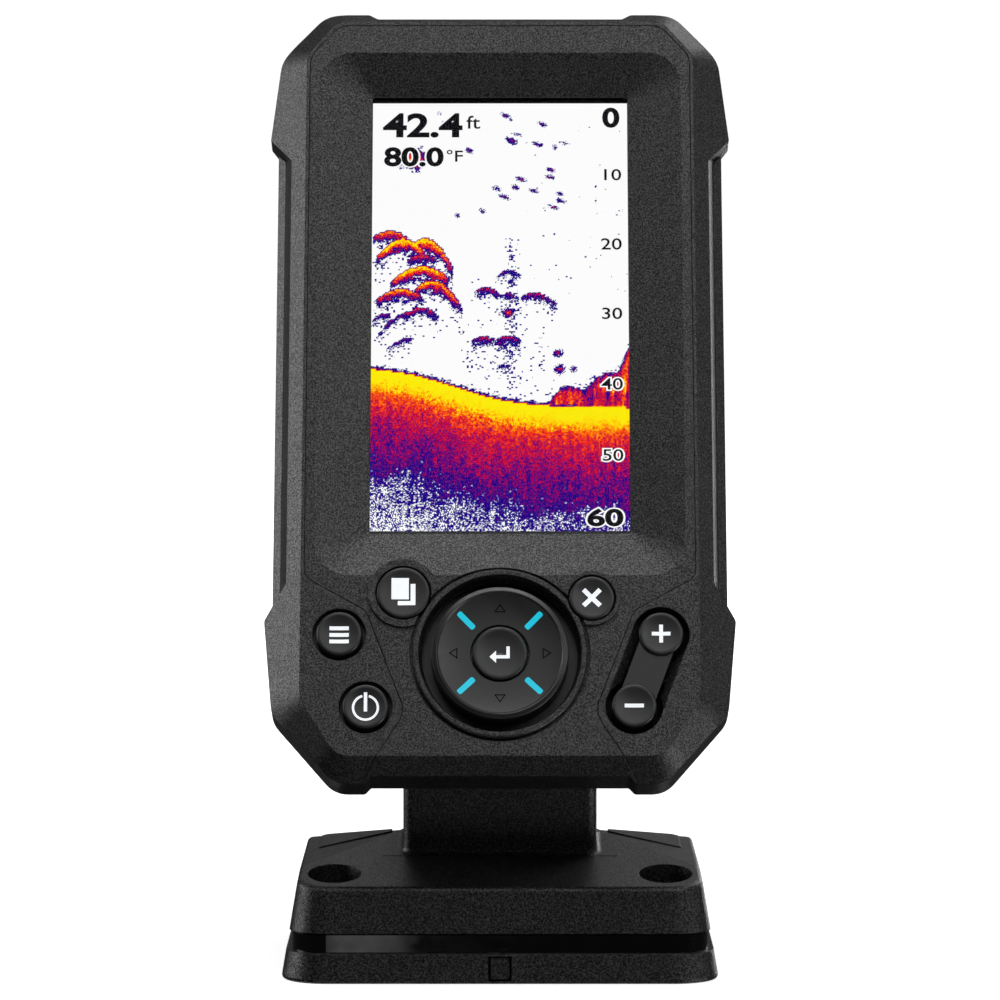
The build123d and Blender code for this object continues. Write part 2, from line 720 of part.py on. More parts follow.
with BuildPart() as rear_housing:
    add(rear_form.part)
    add(rear_space.part, mode=Mode.SUBTRACT)
    # side rails that fill the waist behind the front frame
    with BuildSketch(section(-64)):
        with BuildLine():
            Polyline(
                (42.6, 8.3),
                (WAIST_LOWER + 0.15, 8.3),
                (WAIST_LOWER + 1.7, 9.85),
                (REAR_HALF, -REAR_FRONT + 0.5),
                (42.6, -REAR_FRONT + 0.5),
                close=True,
            )
        make_face()
        mirror(about=Plane.YZ)
    extrude(amount=64 + 40)
    with BuildSketch(FACE.offset(REAR_FRONT)):
        add(BELT)
        offset(amount=0.2)
    extrude(amount=-REAR_FRONT, mode=Mode.SUBTRACT)
    # screw columns
    with BuildSketch(FACE.offset(REAR_FRONT)):
        with Locations(*both_sides(CASE_SCREWS)):
            Circle(3.7)
    extrude(amount=BACK + 1 - REAR_FRONT)
    with BuildSketch(SIDE):
        with BuildLine():
            Polyline(*REAR_CUT, close=True)
        make_face()
    extrude(amount=60, both=True, mode=Mode.SUBTRACT)
    with BuildSketch(FACE.offset(REAR_FRONT)):
        with Locations(*both_sides(CASE_SCREWS)):
            Circle(1.45)
    extrude(amount=-20, mode=Mode.SUBTRACT)
    with BuildSketch(FACE.offset(SCREW_SEAT)):
        with Locations(*both_sides(CASE_SCREWS)):
            Circle(2.5)
    extrude(amount=-20, mode=Mode.SUBTRACT)
    # dock rails for the tilt cradle, closed at the top
    with BuildSketch(section(DOCK_BOTTOM)):
        with BuildLine():
            Polyline(
                (RAIL_IN, -BACK - 0.5),
                (RAIL_IN + 3.6, -BACK - 0.5),
                (RAIL_IN + 3.6, -BACK + 5.6),
                (RAIL_IN + 2.8, -BACK + 6.4),
                (RAIL_IN - 3.0, -BACK + 6.4),
                (RAIL_IN - 3.0, -BACK + 4.1),
                (RAIL_IN, -BACK + 4.1),
                close=True,
            )
        make_face()
        mirror(about=Plane.YZ)
    extrude(amount=DOCK_TOP - DOCK_BOTTOM)
    with BuildSketch(FACE.offset(BACK + 0.5)):
        with Locations((0, DOCK_TOP + 1.2)):
            Rectangle(2 * RAIL_IN + 7.2, 2.4)
    extrude(amount=-5.0)
    # notch for the latch, the socket's opening and the vent's hole
    with BuildSketch(FACE.offset(BACK)):
        with Locations((0, LATCH_NOTCH)):
            Rectangle(13.4, 4.4)
    extrude(amount=1.3, mode=Mode.SUBTRACT)
    with BuildSketch(FACE.offset(BACK - 1)):
        with Locations((0, SOCKET_AT)):
            RectangleRounded(27.0, 16.0, 3)
        with Locations(VENT):
            Circle(2.6)
    extrude(amount=6, mode=Mode.SUBTRACT)
    # ribs across the upper back
    with BuildSketch(FACE.offset(BACK + 0.3)):
        with Locations(*[(0, 34 + 4.5 * n) for n in range(5)]):
            SlotOverall(44, 1.8)
    extrude(amount=-1.1)

with BuildPart() as housing_gasket:
    with BuildSketch(FACE.offset(SPLIT)):
        add(FRONT_ROOM)
        offset(amount=1.5)
        add(FRONT_ROOM, mode=Mode.SUBTRACT)
        offset(FRONT_ROOM, amount=0.4, mode=Mode.SUBTRACT)
    extrude(amount=REAR_FRONT - SPLIT)

with BuildPart() as case_screws:
    with BuildSketch(FACE.offset(SCREW_SEAT)):
        with Locations(*both_sides(CASE_SCREWS)):
            Circle(2.2)
    extrude(amount=-1.7)
    with BuildSketch(FACE.offset(SCREW_SEAT - 1.7)):
        with Locations(*both_sides(CASE_SCREWS)):
            RegularPolygon(1.1, 6)
    extrude(amount=1.0, mode=Mode.SUBTRACT)
    with BuildSketch(FACE.offset(SCREW_SEAT)):
        with Locations(*both_sides(CASE_SCREWS)):
            Circle(1.25)
    extrude(amount=9)

with BuildPart() as rear_socket:
    with BuildSketch(FACE.offset(BACK)):
        with Locations((0, SOCKET_AT)):
            RectangleRounded(31.0, 20.0, 4)
    extrude(amount=-1.6)
    with BuildSketch(FACE.offset(BACK + 4)):
        with Locations((0, SOCKET_AT)):
            RectangleRounded(26.6, 15.6, 2.8)
    extrude(amount=SOCKET_MOUTH - BACK - 4)
    with BuildSketch(FACE.offset(SOCKET_MOUTH)):
        with Locations((0, SOCKET_AT)):
            RectangleRounded(22.4, 11.4, 1.6)
        with Locations((0, SOCKET_AT - 6)):
            Rectangle(3.0, 1.6)
    extrude(amount=8.4, mode=Mode.SUBTRACT)

with BuildPart() as socket_pins:
    with BuildSketch(FACE.offset(SOCKET_MOUTH + 8.4)):
        with Locations((0, SOCKET_AT)):
            with GridLocations(3.6, 4.4, 5, 2):
                Circle(0.5)
    extrude(amount=-2.6)

with BuildPart() as socket_seal:
    with BuildSketch(FACE.offset(BACK - 1.6)):
        with Locations((0, SOCKET_AT)):
            RectangleRounded(28.6, 17.6, 3.6)
            RectangleRounded(26.9, 15.9, 2.9, mode=Mode.SUBTRACT)
    extrude(amount=-0.8)

with BuildPart() as vent_plug:
    with BuildSketch(FACE.offset(BACK)):
        with Locations(VENT):
            Circle(VENT_R)
    extrude(amount=-1.0)
    with BuildSketch(FACE.offset(BACK)):
        with Locations(VENT):
            Circle(2.5)
    extrude(amount=WALL + 0.4)
    with BuildSketch(FACE.offset(BACK - 1.0)):
        with Locations(VENT):
            with PolarLocations(2.4, 4):
                Circle(0.5)
    extrude(amount=1.4, mode=Mode.SUBTRACT)
    rims = vent_plug.edges().filter_by(GeomType.CIRCLE)
    fillet(rims.filter_by(lambda edge: abs(edge.radius - VENT_R) < 0.01), 0.3)

# ======================================================================================
# Bracket: tilt cradle and its latch, all drawn on (v, w) and given a width
# ======================================================================================

with BuildPart() as tilt_cradle:
    with BuildSketch(SIDE):
        with BuildLine():
            Polyline(
                (-62.5, DOCK_BACK),
                (DOCK_TOP - 0.3, DOCK_BACK),
                (DOCK_TOP - 0.3, -32.8),
                (-62.5, -32.8),
                close=True,
            )
        make_face()
    extrude(amount=RAIL_IN - 0.3, both=True)
    with BuildSketch(SIDE):
        with BuildLine():
            Polyline(
                (-56.5, -32.8),
                (-11, -32.8),
                (-11, -35.2),
                (-12.5, -36.8),
                (-56.5, -36.8),
                close=True,
            )
        make_face()
    extrude(amount=RAIL_IN - 3.4, both=True)
    with BuildSketch(SIDE):
        with Locations(HINGE_ON_FACE):
            Circle(KNUCKLE_R)
        with Locations((-54, -34.8)):
            Rectangle(17, 4)
        make_hull()
    extrude(amount=KNUCKLE_HALF, both=True)
    # ears for the latch's pin
    with BuildSketch(SIDE):
        with Locations(LATCH_PIVOT):
            Circle(3.2)
    extrude(amount=10.5, both=True)
    with BuildSketch(FACE.offset(DOCK_BACK)):
        with Locations((0, -27.3)):
            Rectangle(13.6, 30.2)
    extrude(amount=-14, mode=Mode.SUBTRACT)
    with BuildSketch(SIDE):
        with BuildLine():
            Polyline(
                (-43, DOCK_BACK),
                (-33.5, DOCK_BACK),
                (-33.5, -30.7),
                (-43, -30.7),
                close=True,
            )
        make_face()
    extrude(amount=7, both=True)
    with BuildSketch(SIDE):
        with Locations(LATCH_PIVOT):
            Circle(1.0)
    extrude(amount=12, both=True, mode=Mode.SUBTRACT)
    with BuildSketch(SIDE):
        with Locations(HINGE_ON_FACE):
            Circle(4.5)
    extrude(amount=20, both=True, mode=Mode.SUBTRACT)

with BuildPart() as release_latch:
    with BuildSketch(SIDE):
        with BuildLine():
            FilletPolyline(
                (-41.5, -34.6),
                (-16.2, -34.6),
                (-16.2, -27.9),
                (-14.8, -27.9),
                (-13.8, -29.6),
                (-13.8, -37.6),
                (-31, -37.6),
                (-33.5, -39.6),
                (-41.5, -39.6),
                radius=[0.3, 0.3, 0.2, 0.2, 0.2, 1, 1, 1, 1],
                close=True,
            )
        make_face()
    extrude(amount=6.3, both=True)
    with BuildSketch(SIDE):
        for n in range(4):
            with Locations((-40.2 + 1.7 * n, -39.6)):
                Rectangle(0.7, 0.6)
    extrude(amount=4.6, both=True, mode=Mode.SUBTRACT)
    with BuildSketch(SIDE):
        with Locations(LATCH_PIVOT):
            Circle(1.0 + FIT)
    extrude(amount=8, both=True, mode=Mode.SUBTRACT)

with BuildPart() as latch_pin:
    with BuildSketch(SIDE):
        with Locations(LATCH_PIVOT):
            Circle(1.0)
    extrude(amount=10.5, both=True)

with BuildPart() as latch_spring:  # a bent leaf under the latch's thumb pad
    with BuildSketch(SIDE):
        with BuildLine():
            Polyline(
                (-41.5, -30.75),
                (-41.5, -31.0),
                (-35.2, -31.0),
                (-38.2, -34.5),
                (-37.9, -34.5),
                (-34.6, -30.75),
                close=True,
            )
        make_face()
    extrude(amount=2.5, both=True)

with BuildPart() as tilt_bush:
    with BuildSketch(SIDE):
        with Locations(HINGE_ON_FACE):
            Circle(4.5)
            Circle(TILT_BOLT_R + FIT, mode=Mode.SUBTRACT)
    extrude(amount=KNUCKLE_HALF, both=True)

# ======================================================================================
# Bracket: swivel block with its neck, hinge hardware
# ======================================================================================

flare = tan(radians(FLARE))
YZ_HINGE = Plane(origin=(0, *HINGE), x_dir=(0, 1, 0), z_dir=(1, 0, 0))
roof_slope = (RIDGE - BLOCK_EDGE) / (BASE_HALF[1] - flare * BLOCK_EDGE)


def footprint(z, inset=0.0):
    """The base's rounded outline at height z."""
    lean_in = flare * z + inset
    return RectangleRounded(2 * (BASE_HALF[0] - lean_in), 2 * (BASE_HALF[1] - lean_in), 9.5 - lean_in)


with BuildPart() as block_form:
    with BuildSketch(Plane.XY.offset(BLOCK_BOTTOM)):
        footprint(BLOCK_BOTTOM)
    extrude(amount=RIDGE + 1 - BLOCK_BOTTOM, taper=FLARE)
    with BuildSketch(Plane.YZ):
        with BuildLine():
            Polyline(
                (-50, RIDGE - 50 * roof_slope),
                (0, RIDGE),
                (50, RIDGE - 50 * roof_slope),
                (50, BLOCK_BOTTOM),
                (-50, BLOCK_BOTTOM),
                close=True,
            )
        make_face()
    extrude(amount=60, both=True, mode=Mode.INTERSECT)
    with BuildSketch(Plane.XZ):
        with BuildLine():
            Polyline(
                (-60, RIDGE - 40 * SHOULDER_SLOPE),
                (-20, RIDGE),
                (20, RIDGE),
                (60, RIDGE - 40 * SHOULDER_SLOPE),
                (60, 0),
                (-60, 0),
                close=True,
            )
        make_face()
    extrude(amount=60, both=True, mode=Mode.INTERSECT)

# The ribs along the ridge: the block's own roof, raised and cut to two short strips.
with BuildPart() as crest_ribs:
    add(block_form.part.moved(Location((0, 0, CREST[2]))))
    with BuildSketch(Plane.XY.offset(BLOCK_EDGE)):
        with Locations(((CREST[0] + CREST[1]) / 2, 9), (-(CREST[0] + CREST[1]) / 2, 9)):
            Rectangle(CREST[1] - CREST[0], 18)
    extrude(amount=20, mode=Mode.INTERSECT)

with BuildPart() as neck_form:
    with BuildSketch(Plane.YZ):
        with BuildLine():
            FilletPolyline(
                (NECK_FRONT, 20),
                (NECK_FRONT, 40),
                (-9.8, 55),
                (0, 66),
                (12, 60),
                (-NECK_FRONT, 44),
                (-NECK_FRONT, 20),
                radius=[0, 4, 2, 2, 4, 0, 0],
                close=True,
            )
        make_face()
        with Locations(HINGE):
            Circle(EAR_R)
    extrude(amount=NECK_HALF, both=True)
    with BuildSketch(Plane.XY.offset(19)):
        RectangleRounded(2 * NECK_HALF, -2 * NECK_FRONT, NECK_ROUND)
    extrude(amount=60, mode=Mode.INTERSECT)
    with BuildSketch(Plane.YZ):
        with Locations((HINGE[0], HINGE[1] + 7)):
            Rectangle(60, 35)
        with Locations(HINGE):
            Circle(EAR_R + 0.6)
    extrude(amount=EAR_INSIDE, both=True, mode=Mode.SUBTRACT)

with BuildPart() as swivel_bracket:
    add(block_form.part)
    fillet(
        swivel_bracket.edges().filter_by(
            lambda edge: edge.center().Z > 17 and (abs(edge.center().X) > 36 or abs(edge.center().Y) > 31)
        ),
        EDGE_ROUND,
    )
    add(crest_ribs.part)
    add(neck_form.part)
    fillet(
        swivel_bracket.edges().filter_by(
            lambda edge: 22 < edge.center().Z < RIDGE + 0.3
            and abs(edge.center().X) < NECK_HALF + 0.1
            and abs(edge.center().Y) < 0.1 - NECK_FRONT
            and (
                abs(edge.center().X) > NECK_HALF - NECK_ROUND
                or abs(edge.center().Y) > -NECK_FRONT - NECK_ROUND
            )
            and edge.length > 1
        ),
        NECK_FILLET,
    )
    # room inside, with the central boss and the access tubes left standing
    with BuildSketch(Plane.XY.offset(BLOCK_BOTTOM)):
        RectangleRounded(2 * 39.6, 2 * 32, 6)
        Circle(10.5, mode=Mode.SUBTRACT)
        with GridLocations(2 * MOUNT_HOLES[0], 2 * MOUNT_HOLES[1], 2, 2):
            Circle(ACCESS_R + 1.8, mode=Mode.SUBTRACT)
    extrude(amount=6.2, mode=Mode.SUBTRACT)
    # a short parting line at each side of the neck's foot
    with BuildSketch(Plane.XY.offset(RIDGE + NECK_FRONT * roof_slope - 0.6)):
        with Locations((NECK_HALF + 2.2, NECK_FRONT - 0.8), (-NECK_HALF - 2.2, NECK_FRONT - 0.8)):
            Rectangle(4.2, 0.35)
    extrude(amount=6, mode=Mode.SUBTRACT)
    # ears' bore and the recesses for the bolt's head and nut
    with BuildSketch(YZ_HINGE):
        Circle(TILT_BOLT_R)
    extrude(amount=30, both=True, mode=Mode.SUBTRACT)
    with BuildSketch(YZ_HINGE.offset(16.4)):
        Circle(5.9)
    extrude(amount=10, mode=Mode.SUBTRACT)
    with BuildSketch(YZ_HINGE.offset(-16.4)):
        Circle(5.9)
    extrude(amount=-10, mode=Mode.SUBTRACT)
    # access holes and the bore for the threaded insert
    with BuildSketch(Plane.XY):
        with GridLocations(2 * MOUNT_HOLES[0], 2 * MOUNT_HOLES[1], 2, 2):
            Circle(ACCESS_R)
    extrude(amount=40, mode=Mode.SUBTRACT)
    with BuildSketch(Plane.XY.offset(BLOCK_BOTTOM)):
        Circle(PIVOT_R)
    extrude(amount=12, mode=Mode.SUBTRACT)

with BuildPart() as tilt_bolt:
    with BuildSketch(YZ_HINGE.offset(-19.6)):
        Circle(5.4)
    extrude(amount=2.4)
    with BuildSketch(YZ_HINGE.offset(-19.6)):
        RegularPolygon(2.4, 6)
    extrude(amount=1.6, mode=Mode.SUBTRACT)
    with BuildSketch(YZ_HINGE.offset(-17.2)):
        Circle(TILT_BOLT_R)
    extrude(amount=17.2 + 19.6)

with BuildPart() as tilt_nut:
    with BuildSketch(YZ_HINGE.offset(16.4)):
        RegularPolygon(5.6, 6)
        Circle(TILT_BOLT_R, mode=Mode.SUBTRACT)
    extrude(amount=3.0)

with BuildPart() as tilt_spring_washer:
    with BuildSketch(YZ_HINGE.offset(-17.2)):
        Circle(5.2)
        Circle(TILT_BOLT_R + 0.1, mode=Mode.SUBTRACT)
    extrude(amount=0.8)

with BuildPart() as friction_washers:
    for side in (1, -1):
        with BuildSketch(YZ_HINGE.offset(side * EAR_INSIDE)):
            Circle(8.8)
            Circle(TILT_BOLT_R + 0.1, mode=Mode.SUBTRACT)
        extrude(amount=-side * 0.7)

with BuildPart() as swivel_insert:
    with BuildSketch(Plane.XY.offset(BLOCK_BOTTOM + 0.3)):
        Circle(PIVOT_R)
        Circle(3.0, mode=Mode.SUBTRACT)
    extrude(amount=9)

with BuildPart() as swivel_bolt:
    with BuildSketch(Plane.XY.offset(0.9)):
        Circle(8.5)
    extrude(amount=2.1)
    with BuildSketch(Plane.XY.offset(0.9)):
        RegularPolygon(3.2, 6)
    extrude(amount=1.4, mode=Mode.SUBTRACT)
    with BuildSketch(Plane.XY.offset(3.0)):
        Circle(PIVOT_R)
    extrude(amount=7.4)
    with BuildSketch(Plane.XY.offset(10.4)):
        Circle(3.0)
    extrude(amount=8)

with BuildPart() as swivel_washer:
    with BuildSketch(Plane.XY.offset(3.0)):
        Circle(9.6)
        Circle(PIVOT_R + 0.1, mode=Mode.SUBTRACT)
    extrude(amount=0.9)

# ======================================================================================
# Base
# ======================================================================================

with BuildPart() as base_plate:
    with BuildSketch(Plane.XY):
        footprint(0)
    extrude(amount=PLATE_TOP, taper=FLARE)
    fillet(base_plate.edges().group_by(Axis.Z)[0], FOOT_ROUND)
    with BuildSketch(Plane.XY.offset(PLATE_TOP)):
        footprint(PLATE_TOP, BAND_INSET)
    extrude(amount=BAND_TOP - PLATE_TOP)
    # recess for the foot pad and the pivot's counterbore
    with BuildSketch(Plane.XY):
        RectangleRounded(82, 68, 7)
        RectangleRounded(58, 44, 4, mode=Mode.SUBTRACT)
    extrude(amount=1.0, mode=Mode.SUBTRACT)
    with BuildSketch(Plane.XY):
        Circle(11)
    extrude(amount=5.0, mode=Mode.SUBTRACT)
    with BuildSketch(Plane.XY):
        Circle(7.0)
        with GridLocations(2 * MOUNT_HOLES[0], 2 * MOUNT_HOLES[1], 2, 2):
            Circle(MOUNT_HOLE_R)
    extrude(amount=20, mode=Mode.SUBTRACT)
    with BuildSketch(Plane.XY.offset(3.4)):
        with GridLocations(2 * MOUNT_HOLES[0], 2 * MOUNT_HOLES[1], 2, 2):
            Circle(4.7)
    extrude(amount=20, mode=Mode.SUBTRACT)
    # outline of the tab's upper guide in the band
    with BuildSketch(Plane.XZ.offset(BASE_HALF[1] - flare * PLATE_TOP - BAND_INSET - 0.3)):
        with Locations((0, PLATE_TOP + 1.9)):
            Rectangle(2 * (TAB_HALF + TAB_SLOT), 3.2)
            Rectangle(2 * (TAB_HALF + TAB_SLOT) - 0.6, 2.6, mode=Mode.SUBTRACT)
        with Locations((0.9, PLATE_TOP + 1.9)):
            Rectangle(1.3, 2.3)
    extrude(amount=5, mode=Mode.SUBTRACT)
    # slot for the lock tab
    with BuildSketch(Plane.XY.offset(0.6)):
        with Locations((0, -31)):
            Rectangle(2 * (TAB_HALF + TAB_SLOT), 20)
    extrude(amount=5.0, mode=Mode.SUBTRACT)

with BuildPart() as base_pad:
    with BuildSketch(Plane.XY):
        RectangleRounded(81.6, 67.6, 6.8)
        RectangleRounded(58.4, 44.4, 4.2, mode=Mode.SUBTRACT)
        with GridLocations(2 * MOUNT_HOLES[0], 2 * MOUNT_HOLES[1], 2, 2):
            Circle(3.4, mode=Mode.SUBTRACT)
    extrude(amount=1.0)

with BuildPart() as swivel_bush:
    with BuildSketch(Plane.XY.offset(5.0)):
        Circle(7.0)
        Circle(PIVOT_R + FIT, mode=Mode.SUBTRACT)
    extrude(amount=5.0)
    with BuildSketch(Plane.XY.offset(4.0)):
        Circle(10.0)
        Circle(PIVOT_R + FIT, mode=Mode.SUBTRACT)
    extrude(amount=1.0)

with BuildPart() as lock_tab:
    with BuildSketch(Plane.YZ):
        with BuildLine():
            Polyline((-37.9, 1.0), (-37.3, 5.3), (-24.5, 5.3), (-24.5, 1.0), close=True)
        make_face()
    extrude(amount=TAB_HALF, both=True)
    with BuildSketch(Plane.XY.offset(1.0)):
        with Locations((0, -29)):
            Rectangle(1.3, 5)
    extrude(amount=6, mode=Mode.SUBTRACT)

with BuildPart() as lock_spring:
    with BuildSketch(Plane.XY.offset(1.6)):
        with BuildLine():
            wave = FilletPolyline(
                (0, -24.4),
                (1.5, -23.7),
                (-1.5, -22.9),
                (1.5, -22.1),
                (0, -21.2),
                radius=0.25,
            )
            offset(wave, amount=0.12, side=Side.BOTH)
        make_face()
    extrude(amount=3)

# ======================================================================================
# Write every piece to its own file
# ======================================================================================

PIECES = {
    "front_frame": front_frame,
    "display_panel": display_panel,
    "lens_window": lens_window,
    "lcd_glass": lcd_glass,
    "backlight": backlight,
    "lcd_frame": lcd_frame,
    "lcd_flex": lcd_flex,
    "main_board": main_board,
    "board_screws": board_screws,
    "board_chips": board_chips,
    "gps_antenna": gps_antenna,
    "buzzer": buzzer,
    "switch_domes": switch_domes,
    "keypad_mat": keypad_mat,
    "menu_button": menu_button,
    "power_button": power_button,
    "pages_button": pages_button,
    "close_button": close_button,
    "enter_button": enter_button,
    "zoom_rocker": zoom_rocker,
    "zoom_pin": zoom_pin,
    "direction_pad": direction_pad,
    "light_bars": light_bars,
    "pad_gimbal": pad_gimbal,
    "pad_post": pad_post,
    "housing_gasket": housing_gasket,
    "rear_housing": rear_housing,
    "case_screws": case_screws,
    "rear_socket": rear_socket,
    "socket_pins": socket_pins,
    "socket_seal": socket_seal,
    "vent_plug": vent_plug,
    "tilt_cradle": tilt_cradle,
    "release_latch": release_latch,
    "latch_pin": latch_pin,
    "latch_spring": latch_spring,
    "tilt_bush": tilt_bush,
    "tilt_bolt": tilt_bolt,
    "tilt_nut": tilt_nut,
    "tilt_spring_washer": tilt_spring_washer,
    "friction_washers": friction_washers,
    "swivel_bracket": swivel_bracket,
    "swivel_insert": swivel_insert,
    "swivel_bolt": swivel_bolt,
    "swivel_washer": swivel_washer,
    "swivel_bush": swivel_bush,
    "base_plate": base_plate,
    "base_pad": base_pad,
    "lock_tab": lock_tab,
    "lock_spring": lock_spring,
}

os.makedirs("parts", exist_ok=True)
for name, piece in PIECES.items():
    piece.part.label = name
    export_step(piece.part, f"parts/{name}.step")
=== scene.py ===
import math

import bmesh
import bpy
import numpy as np
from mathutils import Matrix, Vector
from mathutils.bvhtree import BVHTree
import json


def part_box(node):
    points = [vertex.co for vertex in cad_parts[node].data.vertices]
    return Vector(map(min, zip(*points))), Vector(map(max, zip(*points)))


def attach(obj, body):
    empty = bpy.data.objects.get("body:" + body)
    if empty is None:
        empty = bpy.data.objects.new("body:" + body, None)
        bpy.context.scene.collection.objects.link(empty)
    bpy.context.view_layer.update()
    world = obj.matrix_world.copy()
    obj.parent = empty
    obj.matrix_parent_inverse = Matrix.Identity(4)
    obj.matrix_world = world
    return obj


for name in ("Cube", "Light", "Camera"):
    if name in bpy.data.objects:
        bpy.data.objects.remove(bpy.data.objects[name])
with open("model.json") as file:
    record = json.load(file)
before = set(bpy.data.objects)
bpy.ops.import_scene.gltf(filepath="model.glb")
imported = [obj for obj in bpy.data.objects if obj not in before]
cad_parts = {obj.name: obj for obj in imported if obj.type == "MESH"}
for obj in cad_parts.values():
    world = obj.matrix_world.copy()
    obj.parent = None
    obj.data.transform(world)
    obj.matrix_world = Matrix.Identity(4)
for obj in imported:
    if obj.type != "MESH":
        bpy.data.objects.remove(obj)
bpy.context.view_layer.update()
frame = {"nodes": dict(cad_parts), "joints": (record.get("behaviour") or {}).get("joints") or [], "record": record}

MM = 0.001
nodes = frame["nodes"]
joints = {joint["name"]: joint for joint in frame["joints"]}
collection = bpy.context.scene.collection


# ======================================================================================
# The face of the head: u runs across it, v up it and w out of it, in millimetres from the
# middle of the lens's front
# ======================================================================================

ACROSS = Vector((1, 0, 0))
UP = Vector(joints["pad_tilt_left_right"]["axis"]).normalized()
OUT = -Vector(joints["menu_press"]["axis"]).normalized()


def middle(node):
    """The middle of a CAD node's box."""
    low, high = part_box(node)
    return (low + high) / 2


def reach(node, direction):
    """How far a CAD node reaches along a direction, in metres."""
    return max(vertex.co.dot(direction) for vertex in nodes[node].data.vertices)


LENS_MID = middle("lens_window")
FACE = LENS_MID + OUT * (reach("lens_window", OUT) - LENS_MID.dot(OUT))


def on_face(u, v, w=0.0):
    """The point of the model at (u, v, w)."""
    return FACE + (ACROSS * u + UP * v + OUT * w) * MM


def face_place(node):
    """The (u, v) of a CAD node's middle."""
    away = middle(node) - FACE
    return away.dot(ACROSS) / MM, away.dot(UP) / MM


def face_middle(node):
    """The (u, v) of the middle of a CAD node's outline, as seen square to the face."""
    across = (reach(node, ACROSS) - reach(node, -ACROSS)) / 2 - FACE.dot(ACROSS)
    along = (reach(node, UP) - reach(node, -UP)) / 2 - FACE.dot(UP)
    return across / MM, along / MM


# ======================================================================================
# Shader helpers
# ======================================================================================


class Shader:
    """A node material being built: a short way to add nodes and link them."""

    def __init__(self, name):
        old = bpy.data.materials.get(name)
        if old:
            old.name = name + ".packed"
        self.material = bpy.data.materials.new(name)
        self.material.use_nodes = True
        self.tree = self.material.node_tree
        self.tree.nodes.clear()
        self.output = self.add("ShaderNodeOutputMaterial")

    def add(self, kind, **values):
        """A new node of this kind, with its settings."""
        node = self.tree.nodes.new(kind)
        for key, value in values.items():
            setattr(node, key, value)
        return node

    def link(self, source, target):
        self.tree.links.new(source, target)

    def place(self):
        """Object coordinates, in metres."""
        return self.add("ShaderNodeTexCoord").outputs["Object"]

    def noise(self, scale, detail=2.0, roughness=0.5):
        """Noise between 0 and 1, with scale features to the metre."""
        node = self.add("ShaderNodeTexNoise")
        node.inputs["Scale"].default_value = scale
        node.inputs["Detail"].default_value = detail
        node.inputs["Roughness"].default_value = roughness
        self.link(self.place(), node.inputs["Vector"])
        return node.outputs["Fac"]

    def maths(self, operation, first, second=0.0, clamp=False):
        """One sum of two values or links."""
        node = self.add("ShaderNodeMath", operation=operation, use_clamp=clamp)
        for socket, value in zip(node.inputs, (first, second)):
            if isinstance(value, (int, float)):
                socket.default_value = value
            else:
                self.link(value, socket)
        return node.outputs[0]

    def spread(self, value, low, high, source=(0.0, 1.0)):
        """The value mapped from source to between low and high."""
        node = self.add("ShaderNodeMapRange", clamp=True)
        node.inputs["From Min"].default_value = source[0]
        node.inputs["From Max"].default_value = source[1]
        node.inputs["To Min"].default_value = low
        node.inputs["To Max"].default_value = high
        self.link(value, node.inputs["Value"])
        return node.outputs["Result"]

    def ramp(self, value, stops):
        """The value turned into colour, by stops of position and colour."""
        node = self.add("ShaderNodeValToRGB")
        while len(node.color_ramp.elements) < len(stops):
            node.color_ramp.elements.new(0.5)
        for element, (position, colour) in zip(node.color_ramp.elements, stops):
            element.position = position
            element.color = (*colour, 1)
        self.link(value, node.inputs["Fac"])
        return node.outputs["Color"]

    def bump(self, height, distance, normal=None):
        """Normals of a relief: height 1 stands out by distance, in metres."""
        node = self.add("ShaderNodeBump")
        node.inputs["Distance"].default_value = distance
        node.inputs["Strength"].default_value = 1.0
        self.link(height, node.inputs["Height"])
        if normal is not None:
            self.link(normal, node.inputs["Normal"])
        return node.outputs["Normal"]

    def soft_edges(self, radius=0.28):
        """Normals that round sharp edges off over radius, in mm."""
        node = self.add("ShaderNodeBevel", samples=3)
        node.inputs["Radius"].default_value = radius * MM
        return node.outputs["Normal"]

    def surface(self, colour, roughness, normal=None, **sockets):
        """A Principled surface, whose colour and roughness may be values or links."""
        node = self.add("ShaderNodeBsdfPrincipled")
        settings = {"Base Color": colour, "Roughness": roughness, **sockets}
        for key, value in settings.items():
            socket = node.inputs[key]
            if isinstance(value, (int, float)):
                socket.default_value = value
            elif isinstance(value, tuple):
                socket.default_value = (*value, 1)
            else:
                self.link(value, socket)
        if normal is not None:
            self.link(normal, node.inputs["Normal"])
        self.link(node.outputs[0], self.output.inputs["Surface"])
        return self.material


